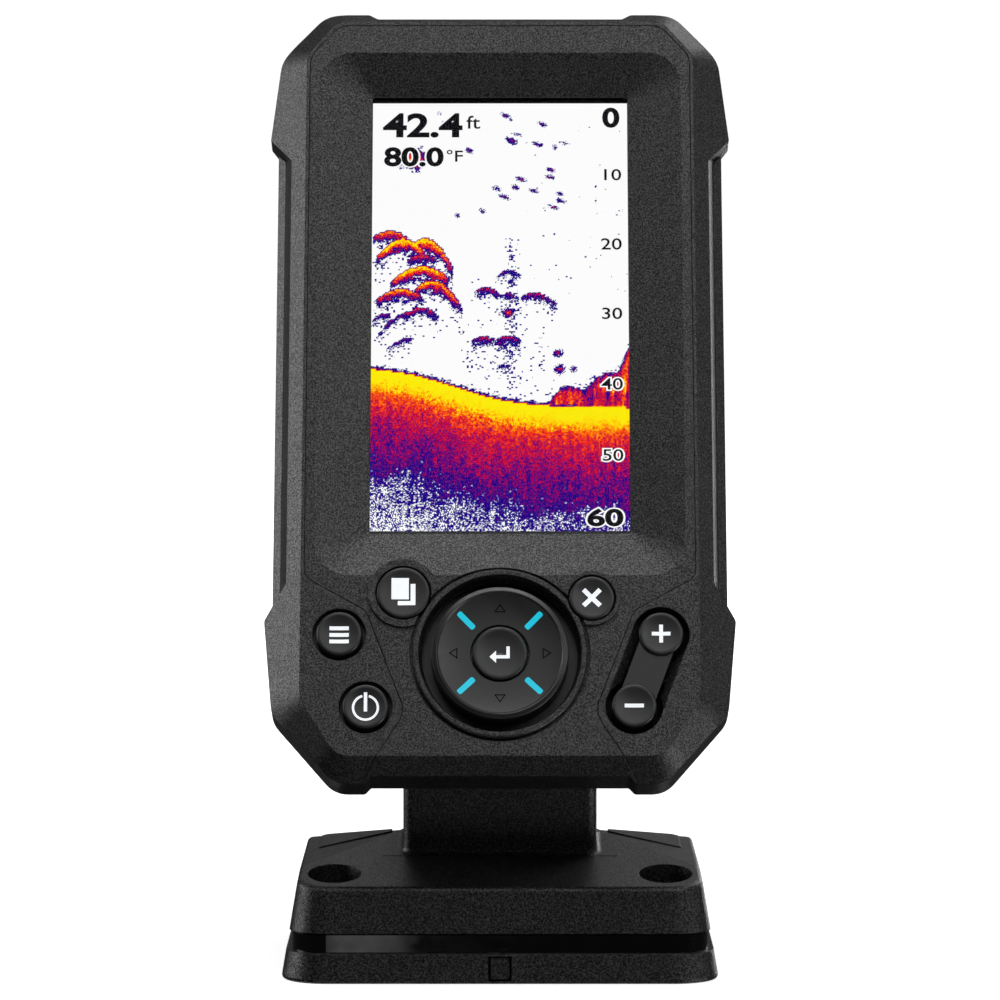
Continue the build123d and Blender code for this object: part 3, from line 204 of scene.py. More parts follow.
def moulded(name, shade, roughness, grain, depth, speckle, band=None):
    """Moulded plastic: a spark-eroded grain, in mm, shows in its relief, tint and gloss.

    Where band gives two heights in mm, the surface between them is polished instead.
    """
    s = Shader(name)
    coarse = s.noise(1000 / grain, 2.0, 0.6)
    fine = s.noise(2600 / grain, 1.0, 0.6)
    height = s.maths("ADD", coarse, s.maths("MULTIPLY", fine, 0.7))
    pits = s.spread(height, 0.0, 1.0, (0.66, 1.04))
    mottle = s.noise(90, 3.0)
    rough = s.spread(mottle, roughness - 0.03, roughness + 0.03, (0.3, 0.7))
    rough = s.maths("ADD", rough, s.spread(fine, 0.1, -0.08, (0.35, 0.65)))
    dark = tuple(value * (1 - 0.9 * speckle) for value in shade)
    light = tuple(value * (1 + 4.5 * speckle) for value in shade)
    colour = s.ramp(pits, [(0.3, dark), (0.5, shade), (0.75, light)])
    sheen = s.spread(pits, 0.5 - 0.34 * speckle, 0.5 + 0.5 * speckle, (0.3, 0.75))
    normal = s.bump(height, depth * MM, normal=s.soft_edges())
    grained = s.surface(colour, rough, normal, **{"Specular IOR Level": sheen})
    if band is None:
        return grained
    grained_shader = s.output.inputs["Surface"].links[0].from_socket
    smears = s.spread(s.noise(220, 3.0), 0.03, 0.08, (0.3, 0.7))
    s.surface((0.002, 0.002, 0.002), smears, s.soft_edges(0.15))
    polished_shader = s.output.inputs["Surface"].links[0].from_socket
    split = s.add("ShaderNodeSeparateXYZ")
    s.link(s.place(), split.inputs[0])
    above = s.maths("GREATER_THAN", split.outputs["Z"], band[0] * MM)
    below = s.maths("LESS_THAN", split.outputs["Z"], band[1] * MM)
    mix = s.add("ShaderNodeMixShader")
    s.link(s.maths("MULTIPLY", above, below), mix.inputs[0])
    s.link(grained_shader, mix.inputs[1])
    s.link(polished_shader, mix.inputs[2])
    s.link(mix.outputs[0], s.output.inputs["Surface"])
    return s.material


def smooth_key(name, shade, roughness):
    """Satin key plastic with faint fingerprints."""
    s = Shader(name)
    smear = s.noise(260, 4.0, 0.7)
    rough = s.spread(smear, roughness - 0.05, roughness + 0.06, (0.35, 0.65))
    colour = s.ramp(s.noise(120, 2.0), [(0.3, tuple(v * 0.92 for v in shade)), (0.7, shade)])
    normal = s.bump(s.noise(3500, 2.0), 0.012 * MM, normal=s.soft_edges(0.2))
    return s.surface(colour, rough, normal, **{"Specular IOR Level": 0.63})


def metal(name, colour, roughness, marks=0.0):
    """Plain metal with a fine relief, which marks makes deeper, in mm."""
    s = Shader(name)
    height = s.noise(2500, 3.0, 0.7)
    tint = s.ramp(s.noise(300, 3.0), [(0.3, tuple(v * 0.82 for v in colour)), (0.7, colour)])
    rough = s.spread(s.noise(700, 3.0), roughness - 0.06, roughness + 0.08, (0.3, 0.7))
    return s.surface(tint, rough, s.bump(height, (0.003 + marks) * MM), Metallic=1.0)


def light_bar_plastic():
    """Cyan light pipes, lit a little unevenly from inside."""
    s = Shader("light_cyan")
    glow = s.ramp(s.noise(500, 2.0), [(0.3, (0.0, 0.46, 0.6)), (0.7, (0.0, 0.54, 0.69))])
    lit = {"Emission Color": glow, "Emission Strength": 0.8, "Specular IOR Level": 0.4}
    return s.surface((0.02, 0.25, 0.35), s.spread(s.noise(900), 0.25, 0.4), None, **lit)


def clear_window():
    """The bonded clear window: see-through, with a gloss that grows seen edge on."""
    s = Shader("lens")
    clear = s.add("ShaderNodeBsdfTransparent")
    gloss = s.add("ShaderNodeBsdfGlossy")
    gloss.inputs["Color"].default_value = (0.2, 0.2, 0.2, 1)
    s.link(s.spread(s.noise(30, 3.0), 0.03, 0.09), gloss.inputs["Roughness"])
    edge_on = s.maths("POWER", s.add("ShaderNodeLayerWeight").outputs["Facing"], 5.0)
    mix = s.add("ShaderNodeMixShader")
    s.link(s.spread(edge_on, 0.017, 0.7), mix.inputs[0])
    s.link(clear.outputs[0], mix.inputs[1])
    s.link(gloss.outputs[0], mix.inputs[2])
    s.link(mix.outputs[0], s.output.inputs["Surface"])
    return s.material


def dark_screen():
    """The display's unlit border."""
    s = Shader("screen")
    return s.surface((0.002, 0.002, 0.003), s.spread(s.noise(60, 3.0), 0.12, 0.2), None)


def coated(name, colour, roughness, scale, depth, **sockets):
    """Boards, ceramics, ribbons and pads: a tint that varies and a fine surface."""
    s = Shader(name)
    tint = s.ramp(s.noise(scale, 3.0), [(0.3, tuple(v * 0.8 for v in colour)), (0.7, colour)])
    rough = s.spread(s.noise(scale * 3, 2.0), roughness - 0.06, roughness + 0.06, (0.3, 0.7))
    return s.surface(tint, rough, s.bump(s.noise(scale * 6, 2.0), depth * MM), **sockets)


# Moulded finishes: shade, roughness, grain in mm, depth of the grain in mm and its contrast.
HOUSING_FINISH = ((0.0085, 0.0086, 0.009), 0.33, 0.32, 0.06, 0.75)
SIDE_FINISH = ((0.008, 0.0081, 0.0085), 0.33, 0.32, 0.06, 0.75)
BRACKET_FINISH = ((0.0055, 0.0055, 0.0058), 0.35, 0.38, 0.07, 0.8)
SOCKET_FINISH = ((0.008, 0.008, 0.0085), 0.4, 0.4, 0.03, 0.4)

MATERIALS = {
    "housing_black": moulded("housing_black", *HOUSING_FINISH),
    "side_black": moulded("side_black", *SIDE_FINISH),
    "bracket_black": moulded("bracket_black", *BRACKET_FINISH),
    "socket_black": moulded("socket_black", *SOCKET_FINISH),
    "key_black": smooth_key("key_black", (0.009, 0.0092, 0.0096), 0.36),
    "light_cyan": light_bar_plastic(),
    "lens": clear_window(),
    "screen": dark_screen(),
    "backlight_white": coated("backlight_white", (0.85, 0.86, 0.84), 0.4, 60, 0.004),
    "steel": metal("steel", (0.56, 0.56, 0.58), 0.32, 0.003),
    "gold": metal("gold", (0.86, 0.62, 0.26), 0.26),
    "brass": metal("brass", (0.72, 0.55, 0.28), 0.34, 0.004),
    "bronze": metal("bronze", (0.50, 0.32, 0.16), 0.42, 0.004),
    "board_green": coated("board_green", (0.016, 0.12, 0.06), 0.35, 120, 0.01),
    "chip_black": coated("chip_black", (0.02, 0.02, 0.021), 0.5, 400, 0.012),
    "ceramic": coated("ceramic", (0.66, 0.6, 0.5), 0.3, 200, 0.004),
    "flex_amber": coated("flex_amber", (0.42, 0.19, 0.03), 0.3, 150, 0.004),
    "silicone": coated("silicone", (0.035, 0.036, 0.04), 0.62, 300, 0.01),
    "rubber_black": coated("rubber_black", (0.012, 0.012, 0.012), 0.7, 350, 0.02),
    "acetal": coated("acetal", (0.62, 0.61, 0.58), 0.42, 200, 0.004),
}

# The base plate's polished band lies between these heights, in mm.
PLATE_TOP = 6.15
BAND_TOP = 10.2


def finish_nodes():
    """Gives each CAD node its material."""
    for row in frame["record"]["subparts"]:
        node = nodes[row["node"]]
        node.data.materials[0] = MATERIALS[row["material_slot"]]
    banded = moulded("bracket_black.banded", *BRACKET_FINISH, (PLATE_TOP, BAND_TOP))
    nodes["base_plate"].data.materials[0] = banded


finish_nodes()


# ======================================================================================
# The picture on the display: a sonar chart drawn by formulas, lit from behind
# ======================================================================================

LIT = (53.86, 95.04)  # the lit area, in mm
LIT_MID = (0.0, 0.1)  # its middle
CELL = 0.42  # spacing of the chart's grid
PIXEL = 0.21  # one dot of the display
CHART_W = -0.86  # the chart lies this far out of the face, just over the display glass
EDGE_W = -0.845  # the figures' white edges
TEXT_W = -0.83  # the figures
EDGE = 0.28  # width of the figures' white edges
CAP_HEIGHT = 0.695  # height of a figure at text size 1

# The bottom: its height falls from left to right in one smooth step.
BOTTOM_TOP = -11.1
BOTTOM_DROP = 9.2
BOTTOM_MID = -9.4
BOTTOM_RUN = 6.7

# Echo strength by depth below the bottom's top.
BOTTOM_ECHO = (
    (-0.4, 0.0),
    (0.0, 1.1),
    (2.6, 1.04),
    (4.4, 0.88),
    (6.0, 0.72),
    (9.0, 0.59),
    (13.0, 0.5),
    (17.5, 0.42),
    (22.0, 0.33),
    (26.0, 0.24),
    (31.0, 0.16),
    (36.0, 0.11),
)

# Fish arches: top (u, v), reach to the left and right, curvature and strength.
ARCHES = (
    (-23.2, 18.7, 3.6, 4.0, 0.11, 0.75),
    (-20.5, 16.9, 5.6, 4.8, 0.142, 1.0),
    (-15.9, 17.0, 3.0, 6.2, 0.19, 1.0),
    (-16.3, 13.3, 3.3, 3.3, 0.1, 0.6),
    (-16.3, 10.7, 6.8, 5.7, 0.08, 0.95),
    (-14.3, 7.5, 3.8, 6.6, 0.147, 0.9),
    (-20.7, 5.7, 5.4, 4.4, 0.09, 0.8),
    (-16.3, 1.6, 4.1, 3.6, 0.15, 0.55),
    (-23.8, 0.3, 3.2, 1.0, 0.2, 0.4),
    (-18.4, 0.7, 7.7, 0.5, 0.1, 0.4),
    (-18.8, -5.2, 5.2, 0.5, 0.1, 0.38),
    (2, 10.1, 2.9, 2.3, 0.25, 0.4),
    (-3, 6.2, 2.2, 3.2, 0.2, 0.5),
    (7.2, 4.9, 2.9, 4.9, 0.11, 0.5),
    (1.7, 4.8, 1.9, 2.5, 0.2, 0.4),
    (-3.4, -4.9, 2.6, 2.6, 0.1, 0.5),
    (1.7, -4.7, 2.6, 2.9, 0.15, 0.5),
    (-0.6, -6.1, 0.3, 3.6, 0.28, 0.35),
    (1, -11.1, 1.5, 1.5, 0.05, 0.35),
)

# Clouds of bait: middle (u, v), radius and strength.
CLOUDS = (
    (1.7, 0.5, 1.5, 0.55),
    (12.0, -8.5, 1.2, 0.45),
    (12.4, -12.0, 1.4, 0.5),
    (15.3, -12.0, 0.9, 0.4),
    (-18.3, 34.9, 3.3, 0.78),
    (2.4, 13.0, 0.7, 0.3),
    (2.4, 7.4, 0.9, 0.35),
)

# The outline of the weed bed that stands on the bottom at the right.
WEED = (
    (9.4, -60.0),
    (9.9, -19.8),
    (10.6, -18.6),
    (13.2, -16.0),
    (15.0, -15.8),
    (17.1, -16.6),
    (19.6, -14.1),
    (22.1, -12.8),
    (24.6, -12.6),
    (25.8, -9.5),
    (27.0, -7.1),
)

STRAY_ECHOES = 26  # small echoes scattered in the upper water

# Colours of the chart, by echo strength.
PALETTE = (
    (0.0, (1, 1, 1)),
    (0.13, (1, 1, 1)),
    (0.16, (0.008, 0.0, 0.23)),
    (0.36, (0.012, 0.0, 0.24)),
    (0.45, (0.13, 0.0, 0.15)),
    (0.53, (0.45, 0.0, 0.06)),
    (0.62, (0.72, 0.0, 0.012)),
    (0.74, (1.0, 0.045, 0.0)),
    (0.85, (1.0, 0.30, 0.0)),
    (0.92, (1.0, 0.85, 0.0)),
)


def bottom_height(u):
    """The height of the bottom's top at u."""
    return BOTTOM_TOP - BOTTOM_DROP / (1 + np.exp(-(u - BOTTOM_MID) / BOTTOM_RUN))


def smooth_noise(shape, spacing, draw):
    """Random values between 0 and 1 that change smoothly over spacing (rows, columns)."""
    rows = int(shape[0] / spacing[0]) + 2
    columns = int(shape[1] / spacing[1]) + 2
    knots = draw.random((rows, columns))
    y = np.arange(shape[0]) / spacing[0]
    x = np.arange(shape[1]) / spacing[1]
    row, column = y.astype(int), x.astype(int)
    fy, fx = (y - row)[:, None], (x - column)[None, :]
    upper = knots[row][:, column] * (1 - fx) + knots[row][:, column + 1] * fx
    lower = knots[row + 1][:, column] * (1 - fx) + knots[row + 1][:, column + 1] * fx
    return upper * (1 - fy) + lower * fy


def chart_values():
    """Echo strength and speckle density on the chart's grid, with each point's u and v."""
    draw = np.random.default_rng(31)
    columns = int(LIT[0] / CELL) + 1
    rows = int(LIT[1] / CELL) + 1
    across = np.linspace(-LIT[0] / 2, LIT[0] / 2, columns) + LIT_MID[0]
    along = np.linspace(-LIT[1] / 2, LIT[1] / 2, rows) + LIT_MID[1]
    u, v = np.meshgrid(across, along)
    ragged = smooth_noise(u.shape, (1.2, 1.6), draw)
    broad = smooth_noise(u.shape, (5, 7), draw)
    pings = smooth_noise(u.shape, (9, 1.0), draw)

    depth = bottom_height(u) - v
    depths = [row[0] for row in BOTTOM_ECHO]
    levels = [row[1] for row in BOTTOM_ECHO]
    echo = np.interp(depth, depths, levels)
    fade = np.clip(depth / 9, 0, 1)
    echo = echo + fade * (0.08 * (broad - 0.5) + 0.12 * (ragged - 0.5) + 0.12 * (pings - 0.5))
    echo = np.where(depth < -0.35, 0, np.clip(echo, 0, 1.1))
    echo = np.where((depth > -0.35) & (depth < 0.25), 0.3, echo)

    speckle = np.zeros(u.shape)
    for u0, v0, left, right, bend, strength in ARCHES:
        top = v0 - bend * (u - u0) ** 2
        below = top - v
        end = np.where(u < u0, left, right)
        nearness = np.clip(1 - (np.abs(u - u0) / end) ** 4, 0, 1)
        thick = 1.5 + 1.5 * strength * ragged
        arch = strength * (1.12 - 0.62 * np.clip(below / thick, 0, 2)) * nearness ** 0.4
        arch = arch - 0.35 * (1 - ragged) * np.clip(below / thick, 0, 1)
        arch = np.where((below > -0.05) & (nearness > 0) & (below < 1.6 * thick), arch, 0)
        echo = np.maximum(echo, np.clip(arch, 0, 1))
        fall = np.clip(below / thick - 0.6, 0, None)
        trail = 0.5 * strength * np.exp(-fall / 1.3) * (nearness > 0) * (below > 0)
        speckle = np.maximum(speckle, trail * (0.3 + 0.9 * ragged))

    for number in range(STRAY_ECHOES):
        u0, v0 = draw.uniform(-13, 14), draw.uniform(22, 46)
        wide, high = draw.uniform(0.35, 1.1), draw.uniform(0.25, 0.55)
        away = np.hypot((u - u0) / wide, (v - v0 + 0.3 * (u - u0)) / high)
        echo = np.maximum(echo, np.clip(draw.uniform(0.2, 0.38) * (1.6 - away), 0, 1))

    for u0, v0, radius, strength in CLOUDS:
        away = np.hypot(u - u0, (v - v0) * 1.1) / radius
        cloud = strength * (1.25 - away * (0.8 + 0.7 * ragged))
        echo = np.maximum(echo, np.clip(cloud, 0, 1))

    weed_top = np.interp(u, [row[0] for row in WEED], [row[1] for row in WEED])
    inside = weed_top - v + 1.2 * (ragged - 0.5)
    core = 0.34 + 0.27 * np.clip(inside / 2.2, 0, 1) + 0.5 * (pings - 0.5) + 0.25 * (broad - 0.5)
    weed = np.where(inside > 0, np.clip(core, 0.2, 0.9), 0)
    echo = np.maximum(echo, np.where(depth < 0, weed, 0))

    speckle += 0.3 * np.exp(-((u - 2.4) ** 2) / 1.2) * (v < 17) * (v > -16)
    speckle += 0.045 * ((u > -8) & (u < 11) & (v < -5))
    speckle += 0.10 * np.clip((ragged - 0.72) / 0.2, 0, 1) * (np.abs(u - 1.5) < 10) * (v < 8)
    speckle += 0.12 * np.clip((ragged - 0.8) / 0.1, 0, 1) * (u > 5) * (v > 5) * (v < 44)
    speckle += 0.25 * np.clip(1 - np.abs(inside) / 1.4, 0, 1)
    # A fringe of dots over the bottom's top, with a gap at the chart's middle column.
    fringe = (depth < 0) & (depth > -0.8) & (u != 0)
    speckle = np.where(fringe, speckle + 0.3, speckle)
    return u, v, echo, np.clip(speckle, 0, 1)


def picture_material():
    """The lit chart: echo strength, broken up dot by dot, through the chart's colours."""
    s = Shader("screen.chart")
    echo = s.add("ShaderNodeAttribute", attribute_name="echo").outputs["Fac"]
    speckle = s.add("ShaderNodeAttribute", attribute_name="speckle").outputs["Fac"]
    spot = s.add("ShaderNodeAttribute", attribute_name="spot").outputs["Vector"]
    snap = s.add("ShaderNodeVectorMath", operation="SNAP")
    snap.inputs[1].default_value = (PIXEL, PIXEL, 1)
    s.link(spot, snap.inputs[0])
    dots = s.add("ShaderNodeTexWhiteNoise", noise_dimensions="2D")
    s.link(snap.outputs[0], dots.inputs["Vector"])
    coarse_snap = s.add("ShaderNodeVectorMath", operation="SNAP")
    coarse_snap.inputs[1].default_value = (2.1 * PIXEL, 1.5 * PIXEL, 1)
    s.link(spot, coarse_snap.inputs[0])
    clumps = s.add("ShaderNodeTexWhiteNoise", noise_dimensions="2D")
    s.link(coarse_snap.outputs[0], clumps.inputs["Vector"])
    shake = s.maths("ADD", s.maths("MULTIPLY", clumps.outputs["Value"], 0.45), dots.outputs["Value"])
    shake = s.spread(shake, -0.21, 0.2, (0.0, 1.45))
    present = s.maths("GREATER_THAN", echo, 0.06)
    noisy = s.maths("ADD", echo, s.maths("MULTIPLY", shake, present))
    stray = s.maths("MULTIPLY", s.maths("LESS_THAN", clumps.outputs["Value"], speckle), 0.28)
    level = s.maths("MAXIMUM", noisy, stray, clamp=True)
    colour = s.ramp(level, PALETTE)
    glow = s.add("ShaderNodeEmission")
    s.link(colour, glow.inputs["Color"])
    s.link(glow.outputs[0], s.output.inputs["Surface"])
    return s.material


def lit_material(name, colour):
    """Lettering and clear areas of the display: even light, a little uneven like a backlight."""
    s = Shader(name)
    glow = s.add("ShaderNodeEmission")
    pale = tuple(value * 0.97 for value in colour)
    s.link(s.ramp(s.noise(50, 2.0), [(0.3, pale), (0.7, colour)]), glow.inputs["Color"])
    s.link(glow.outputs[0], s.output.inputs["Surface"])
    return s.material


def new_piece(name, mesh, material, body):
    """Adds a mesh as a piece of the model that moves with a body."""
    piece = bpy.data.objects.new(name, mesh)
    collection.objects.link(piece)
    mesh.materials.clear()
    mesh.materials.append(material)
    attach(piece, body)
    return piece


def make_chart():
    """The sonar picture, as a fine grid that carries the echo strengths."""
    u, v, echo, speckle = chart_values()
    rows, columns = u.shape
    points = [on_face(a, b, CHART_W) for a, b in zip(u.ravel(), v.ravel())]
    faces = []
    for row in range(rows - 1):
        for column in range(columns - 1):
            first = row * columns + column
            faces.append((first, first + 1, first + columns + 1, first + columns))
    mesh = bpy.data.meshes.new("screen_chart")
    mesh.from_pydata(points, [], faces)
    mesh.attributes.new("echo", "FLOAT", "POINT").data.foreach_set("value", echo.ravel())
    mesh.attributes.new("speckle", "FLOAT", "POINT").data.foreach_set("value", speckle.ravel())
    spots = np.stack([u.ravel() + 100, v.ravel() + 100, np.zeros(u.size)], axis=1)
    mesh.attributes.new("spot", "FLOAT_VECTOR", "POINT").data.foreach_set("vector", spots.ravel())
    new_piece("screen_chart", mesh, picture_material(), "head")


def lettering_mesh(words, u, v, height, bold, w, align="LEFT", squeeze=1.0):
    """Flat figures on the face: their left or right end at u and their foot at v."""
    curve = bpy.data.curves.new("words", "FONT")
    curve.body = words
    curve.size = height / CAP_HEIGHT
    curve.offset = bold
    curve.align_x = align
    curve.resolution_u = 4
    holder = bpy.data.objects.new("words", curve)
    collection.objects.link(holder)
    bpy.context.view_layer.update()
    depsgraph = bpy.context.evaluated_depsgraph_get()
    mesh = bpy.data.meshes.new_from_object(holder.evaluated_get(depsgraph))
    bpy.data.objects.remove(holder)
    bpy.data.curves.remove(curve)
    for vertex in mesh.vertices:
        vertex.co = on_face(u + vertex.co.x * squeeze, v + vertex.co.y, w)
    return mesh


# Figures: words, (u, v) of the foot, height, boldness, end that u gives, and squeeze.
READINGS = (
    ("42.4", -24.6, 40.1, 5.1, 0.22, "LEFT", 1.32),
    ("ft", -7.1, 41.9, 2.9, 0.03, "LEFT", 1.18),
    ("80.0", -24.5, 33.5, 4.0, 0.19, "LEFT", 1.27),
    ("°F", -11.5, 34.4, 2.5, 0.03, "LEFT", 1.2),
    ("0", 25.3, 42.3, 4.2, 0.2, "RIGHT", 1.2),
    ("10", 25.7, 30.2, 2.5, 0.03, "RIGHT", 1.27),
    ("20", 25.7, 14.6, 2.5, 0.03, "RIGHT", 1.27),
    ("30", 25.7, -0.9, 2.5, 0.03, "RIGHT", 1.27),
    ("40", 25.7, -16.5, 2.5, 0.03, "RIGHT", 1.27),
    ("50", 25.7, -32.1, 2.5, 0.03, "RIGHT", 1.27),
    ("60", 25.5, -46.2, 3.5, 0.17, "RIGHT", 1.5),
)


def make_readings():
    """Depth, temperature and the depth scale, in black with a white edge."""
    black = lit_material("screen.figures", (0.004, 0.004, 0.006))
    white = lit_material("screen.figure_edges", (1.0, 1.0, 1.0))
    for number, (words, u, v, height, bold, align, squeeze) in enumerate(READINGS):
        edge = lettering_mesh(words, u, v, height, bold + EDGE, EDGE_W, align, squeeze)
        new_piece(f"screen_edge_{number}", edge, white, "head")
        figure = lettering_mesh(words, u, v, height, bold, TEXT_W, align, squeeze)
        new_piece(f"screen_figure_{number}", figure, black, "head")


make_chart()
make_readings()


# ======================================================================================
# Signs printed on the keys, and painted shade in the direction pad's engraved arrows
# ======================================================================================

FILM = 0.05  # thickness of the print, and of the painted groove shade
FILM_PROUD = 0.03  # how far the print, and the painted groove shade, stands out of the key
SIGN_REACH = 11.0  # no sign reaches further than this from its key's middle
SIGN_STEP = 0.4  # the print and the painted shade are divided this finely, so that they follow the dished key tops
SIGN_SHIFT = 0.013  # keeps the divisions off the signs' own edges
CAP_DEPTH = 0.4  # the rocker's caps are what lies within this of its highest point
RAY_START = 12  # rays that find a key's top start this far out of the face

# The corners of an engraved arrow of the direction pad, out from its middle and across, and the width of the
# painted shade line laid along its groove.
ARROW = ((10.3, 0), (8.8, 1.0), (8.8, -1.0))
ARROW_SHADE_LINE = 0.2


def bar(u, v, width, height, turn=0.0):
    """A rectangle's outline about (u, v)."""
    cosine, sine = math.cos(turn), math.sin(turn)
    corners = ((-1, -1), (1, -1), (1, 1), (-1, 1))
    outline = []
    for a, b in corners:
        x, y = a * width / 2, b * height / 2
        outline.append((u + x * cosine - y * sine, v + x * sine + y * cosine))
    return outline


def stroke(first, second, width):
    """The outline of a straight stroke between two points."""
    across, along = second[0] - first[0], second[1] - first[1]
    mid = ((first[0] + second[0]) / 2, (first[1] + second[1]) / 2)
    return bar(*mid, math.hypot(across, along) + width, width, math.atan2(along, across))


def ring(u, v, outer, inner, start, end, steps=40):
    """The outlines that make up a ring's arc, from start to end in degrees."""
    outlines = []
    for step in range(steps):
        first, second = (math.radians(start + (end - start) * (step + k) / steps) for k in (0, 1))
        corners = ((inner, first), (outer, first), (outer, second), (inner, second))
        outlines.append([(u + r * math.cos(a), v + r * math.sin(a)) for r, a in corners])
    return outlines


def lay_on_top(name, node, place, outlines, material):
    """Lays outlines, in mm about place, onto a node's top: printed signs, and painted shade for engraved grooves.
    """
    form = bmesh.new()
    for outline in outlines:
        form.faces.new([form.verts.new((a, b, 0)) for a, b in outline])
    steps = int(2 * SIGN_REACH / SIGN_STEP)
    for axis in (Vector((1, 0, 0)), Vector((0, 1, 0))):
        for step in range(steps):
            at = axis * (step * SIGN_STEP - SIGN_REACH + SIGN_SHIFT)
            geometry = form.verts[:] + form.edges[:] + form.faces[:]
            bmesh.ops.bisect_plane(form, geom=geometry, plane_co=at, plane_no=axis)
    bmesh.ops.remove_doubles(form, verts=form.verts, dist=0.01)
    bmesh.ops.recalc_face_normals(form, faces=form.faces)
    source = nodes[node].data
    tree = BVHTree.FromPolygons(
        [vertex.co for vertex in source.vertices], [face.vertices for face in source.polygons]
    )
    for vertex in form.verts:
        start = on_face(place[0] + vertex.co.x, place[1] + vertex.co.y, RAY_START)
        hit = tree.ray_cast(start, -OUT)[0]
        vertex.co = hit + OUT * FILM_PROUD * MM
    for face in form.faces:
        face.normal_update()
        if face.normal.dot(OUT) < 0:
            face.normal_flip()
    mesh = bpy.data.meshes.new(name)
    form.to_mesh(mesh)
    form.free()
    piece = new_piece(name, mesh, material, node)
    # The layer is print on the signs, and painted groove shade on the pad's arrows.
    thick = piece.modifiers.new("ink", "SOLIDIFY")
    thick.thickness = FILM * MM
    thick.offset = -1


def middle_along(points, direction):
    """Halfway between the lowest and highest of the points along a direction."""
    reaches = [point.dot(direction) for point in points]
    return (min(reaches) + max(reaches)) / 2


def rocker_ends():
    """The (u, v) of the middles of the zoom rocker's upper and lower caps."""
    axis = Vector(joints["zoom_rock"]["axis"]).normalized()
    along = axis.cross(OUT).normalized()
    if along.dot(UP) < 0:
        along = -along
    side = along.cross(OUT).normalized()
    points = [vertex.co for vertex in nodes["zoom_rocker"].data.vertices]
    top = max(point.dot(OUT) for point in points)
    caps = [point - FACE for point in points if point.dot(OUT) > top - CAP_DEPTH * MM]
    centre = middle_along(caps, along)
    ends = []
    for sign in (1, -1):
        half = [point for point in caps if sign * (point.dot(along) - centre) > 0]
        low = Vector((min(p.dot(d) for p in half) for d in (along, side)))
        high = Vector((max(p.dot(d) for p in half) for d in (along, side)))
        mid = (low + high) / 2
        at = along * mid.x + side * mid.y
        ends.append((at.dot(ACROSS) / MM, at.dot(UP) / MM))
    return ends


def make_signs():
    """The white signs printed on the keys, and painted shade in the engraved arrow outlines of the direction pad.
    """
    glow = {"Emission Color": (0.9, 0.95, 1.0), "Emission Strength": 0.62}
    ink = coated("key_black.print", (0.8, 0.8, 0.8), 0.45, 500, 0.002, **glow)
    matt = {"Specular IOR Level": 0.05}
    # Painted shade: dark matt lines stand in for the shade inside the pad's engraved arrow outlines.
    groove_shade = coated("key_black.painted_groove_shade", (0.002, 0.002, 0.002), 0.9, 500, 0.002, **matt)

    lines = [bar(0, v, 3.95, 0.8) for v in (1.4, 0, -1.4)]
    lay_on_top("sign_menu", "menu_button", face_place("menu_button"), lines, ink)

    power = ring(0, 0, 2.77, 2.29, 105, 435)
    power.append(bar(0, 1.22, 0.69, 3.96))
    lay_on_top("sign_power", "power_button", face_place("power_button"), power, ink)

    pages = [bar(-0.64, 0.91, 3.56, 4.5), bar(1.99, -0.345, 1.0, 4.53), bar(0.19, -2.16, 2.6, 0.9)]
    lay_on_top("sign_pages", "pages_button", face_place("pages_button"), pages, ink)

    cross = [
        bar(0, 0, 4.8, 0.95, math.radians(45)),
        bar(1.015, -1.015, 1.93, 0.95, math.radians(-45)),
        bar(-1.015, 1.015, 1.93, 0.95, math.radians(-45)),
    ]
    lay_on_top("sign_close", "close_button", face_place("close_button"), cross, ink)

    upper, lower = rocker_ends()
    plus = [bar(0, 0, 3.8, 0.78), bar(0, 1.145, 0.78, 1.51), bar(0, -1.145, 0.78, 1.51)]
    lay_on_top("sign_plus", "zoom_rocker", upper, plus, ink)
    lay_on_top("sign_minus", "zoom_rocker", lower, [bar(0, 0, 3.9, 0.8)], ink)

    enter = [
        [(-2.15, -0.75), (-0.8, -2.05), (-0.8, 0.55)],
        bar(0.25, -0.75, 2.1, 0.68),
        bar(1.64, 0.17, 0.68, 2.52),
    ]
    pad = face_middle("direction_pad")
    lay_on_top("sign_enter", "enter_button", pad, enter, ink)
    for number in range(4):
        turn = number * math.pi / 2
        corners = []
        for a, b in ARROW:
            u = a * math.cos(turn) - b * math.sin(turn)
            corners.append((u, a * math.sin(turn) + b * math.cos(turn)))
        # Painted shade along each edge of the engraved arrow.
        edges = [stroke(corners[k], corners[(k + 1) % 3], ARROW_SHADE_LINE) for k in range(3)]
        lay_on_top(f"pad_groove_shade_{number}", "direction_pad", pad, edges, groove_shade)


make_signs()


# ======================================================================================
# Camera, lights, floor
# ======================================================================================

CAMERA_PLACE = (0.0, -1.0671, 0.1717)  # metres
CAMERA_TILT = 86.0  # degrees up from straight down
CAMERA_LENS = 182.0  # focal length in mm, on a sensor 36 mm wide
SENSOR = 36
STAGE_R = 6.0  # metres
SURROUND = 0.035  # brightness of the studio around the softboxes
BACKDROP = 1.02  # brightness of the backdrop, and of the floor away from the object
FLOOR_NEAR = 0.66  # brightness of the floor under the object
FLOOR_RISE = (0.12, 0.6)  # the floor brightens between these distances, in metres
AIM = (0, 0, 0.1)  # where the softboxes point, in metres

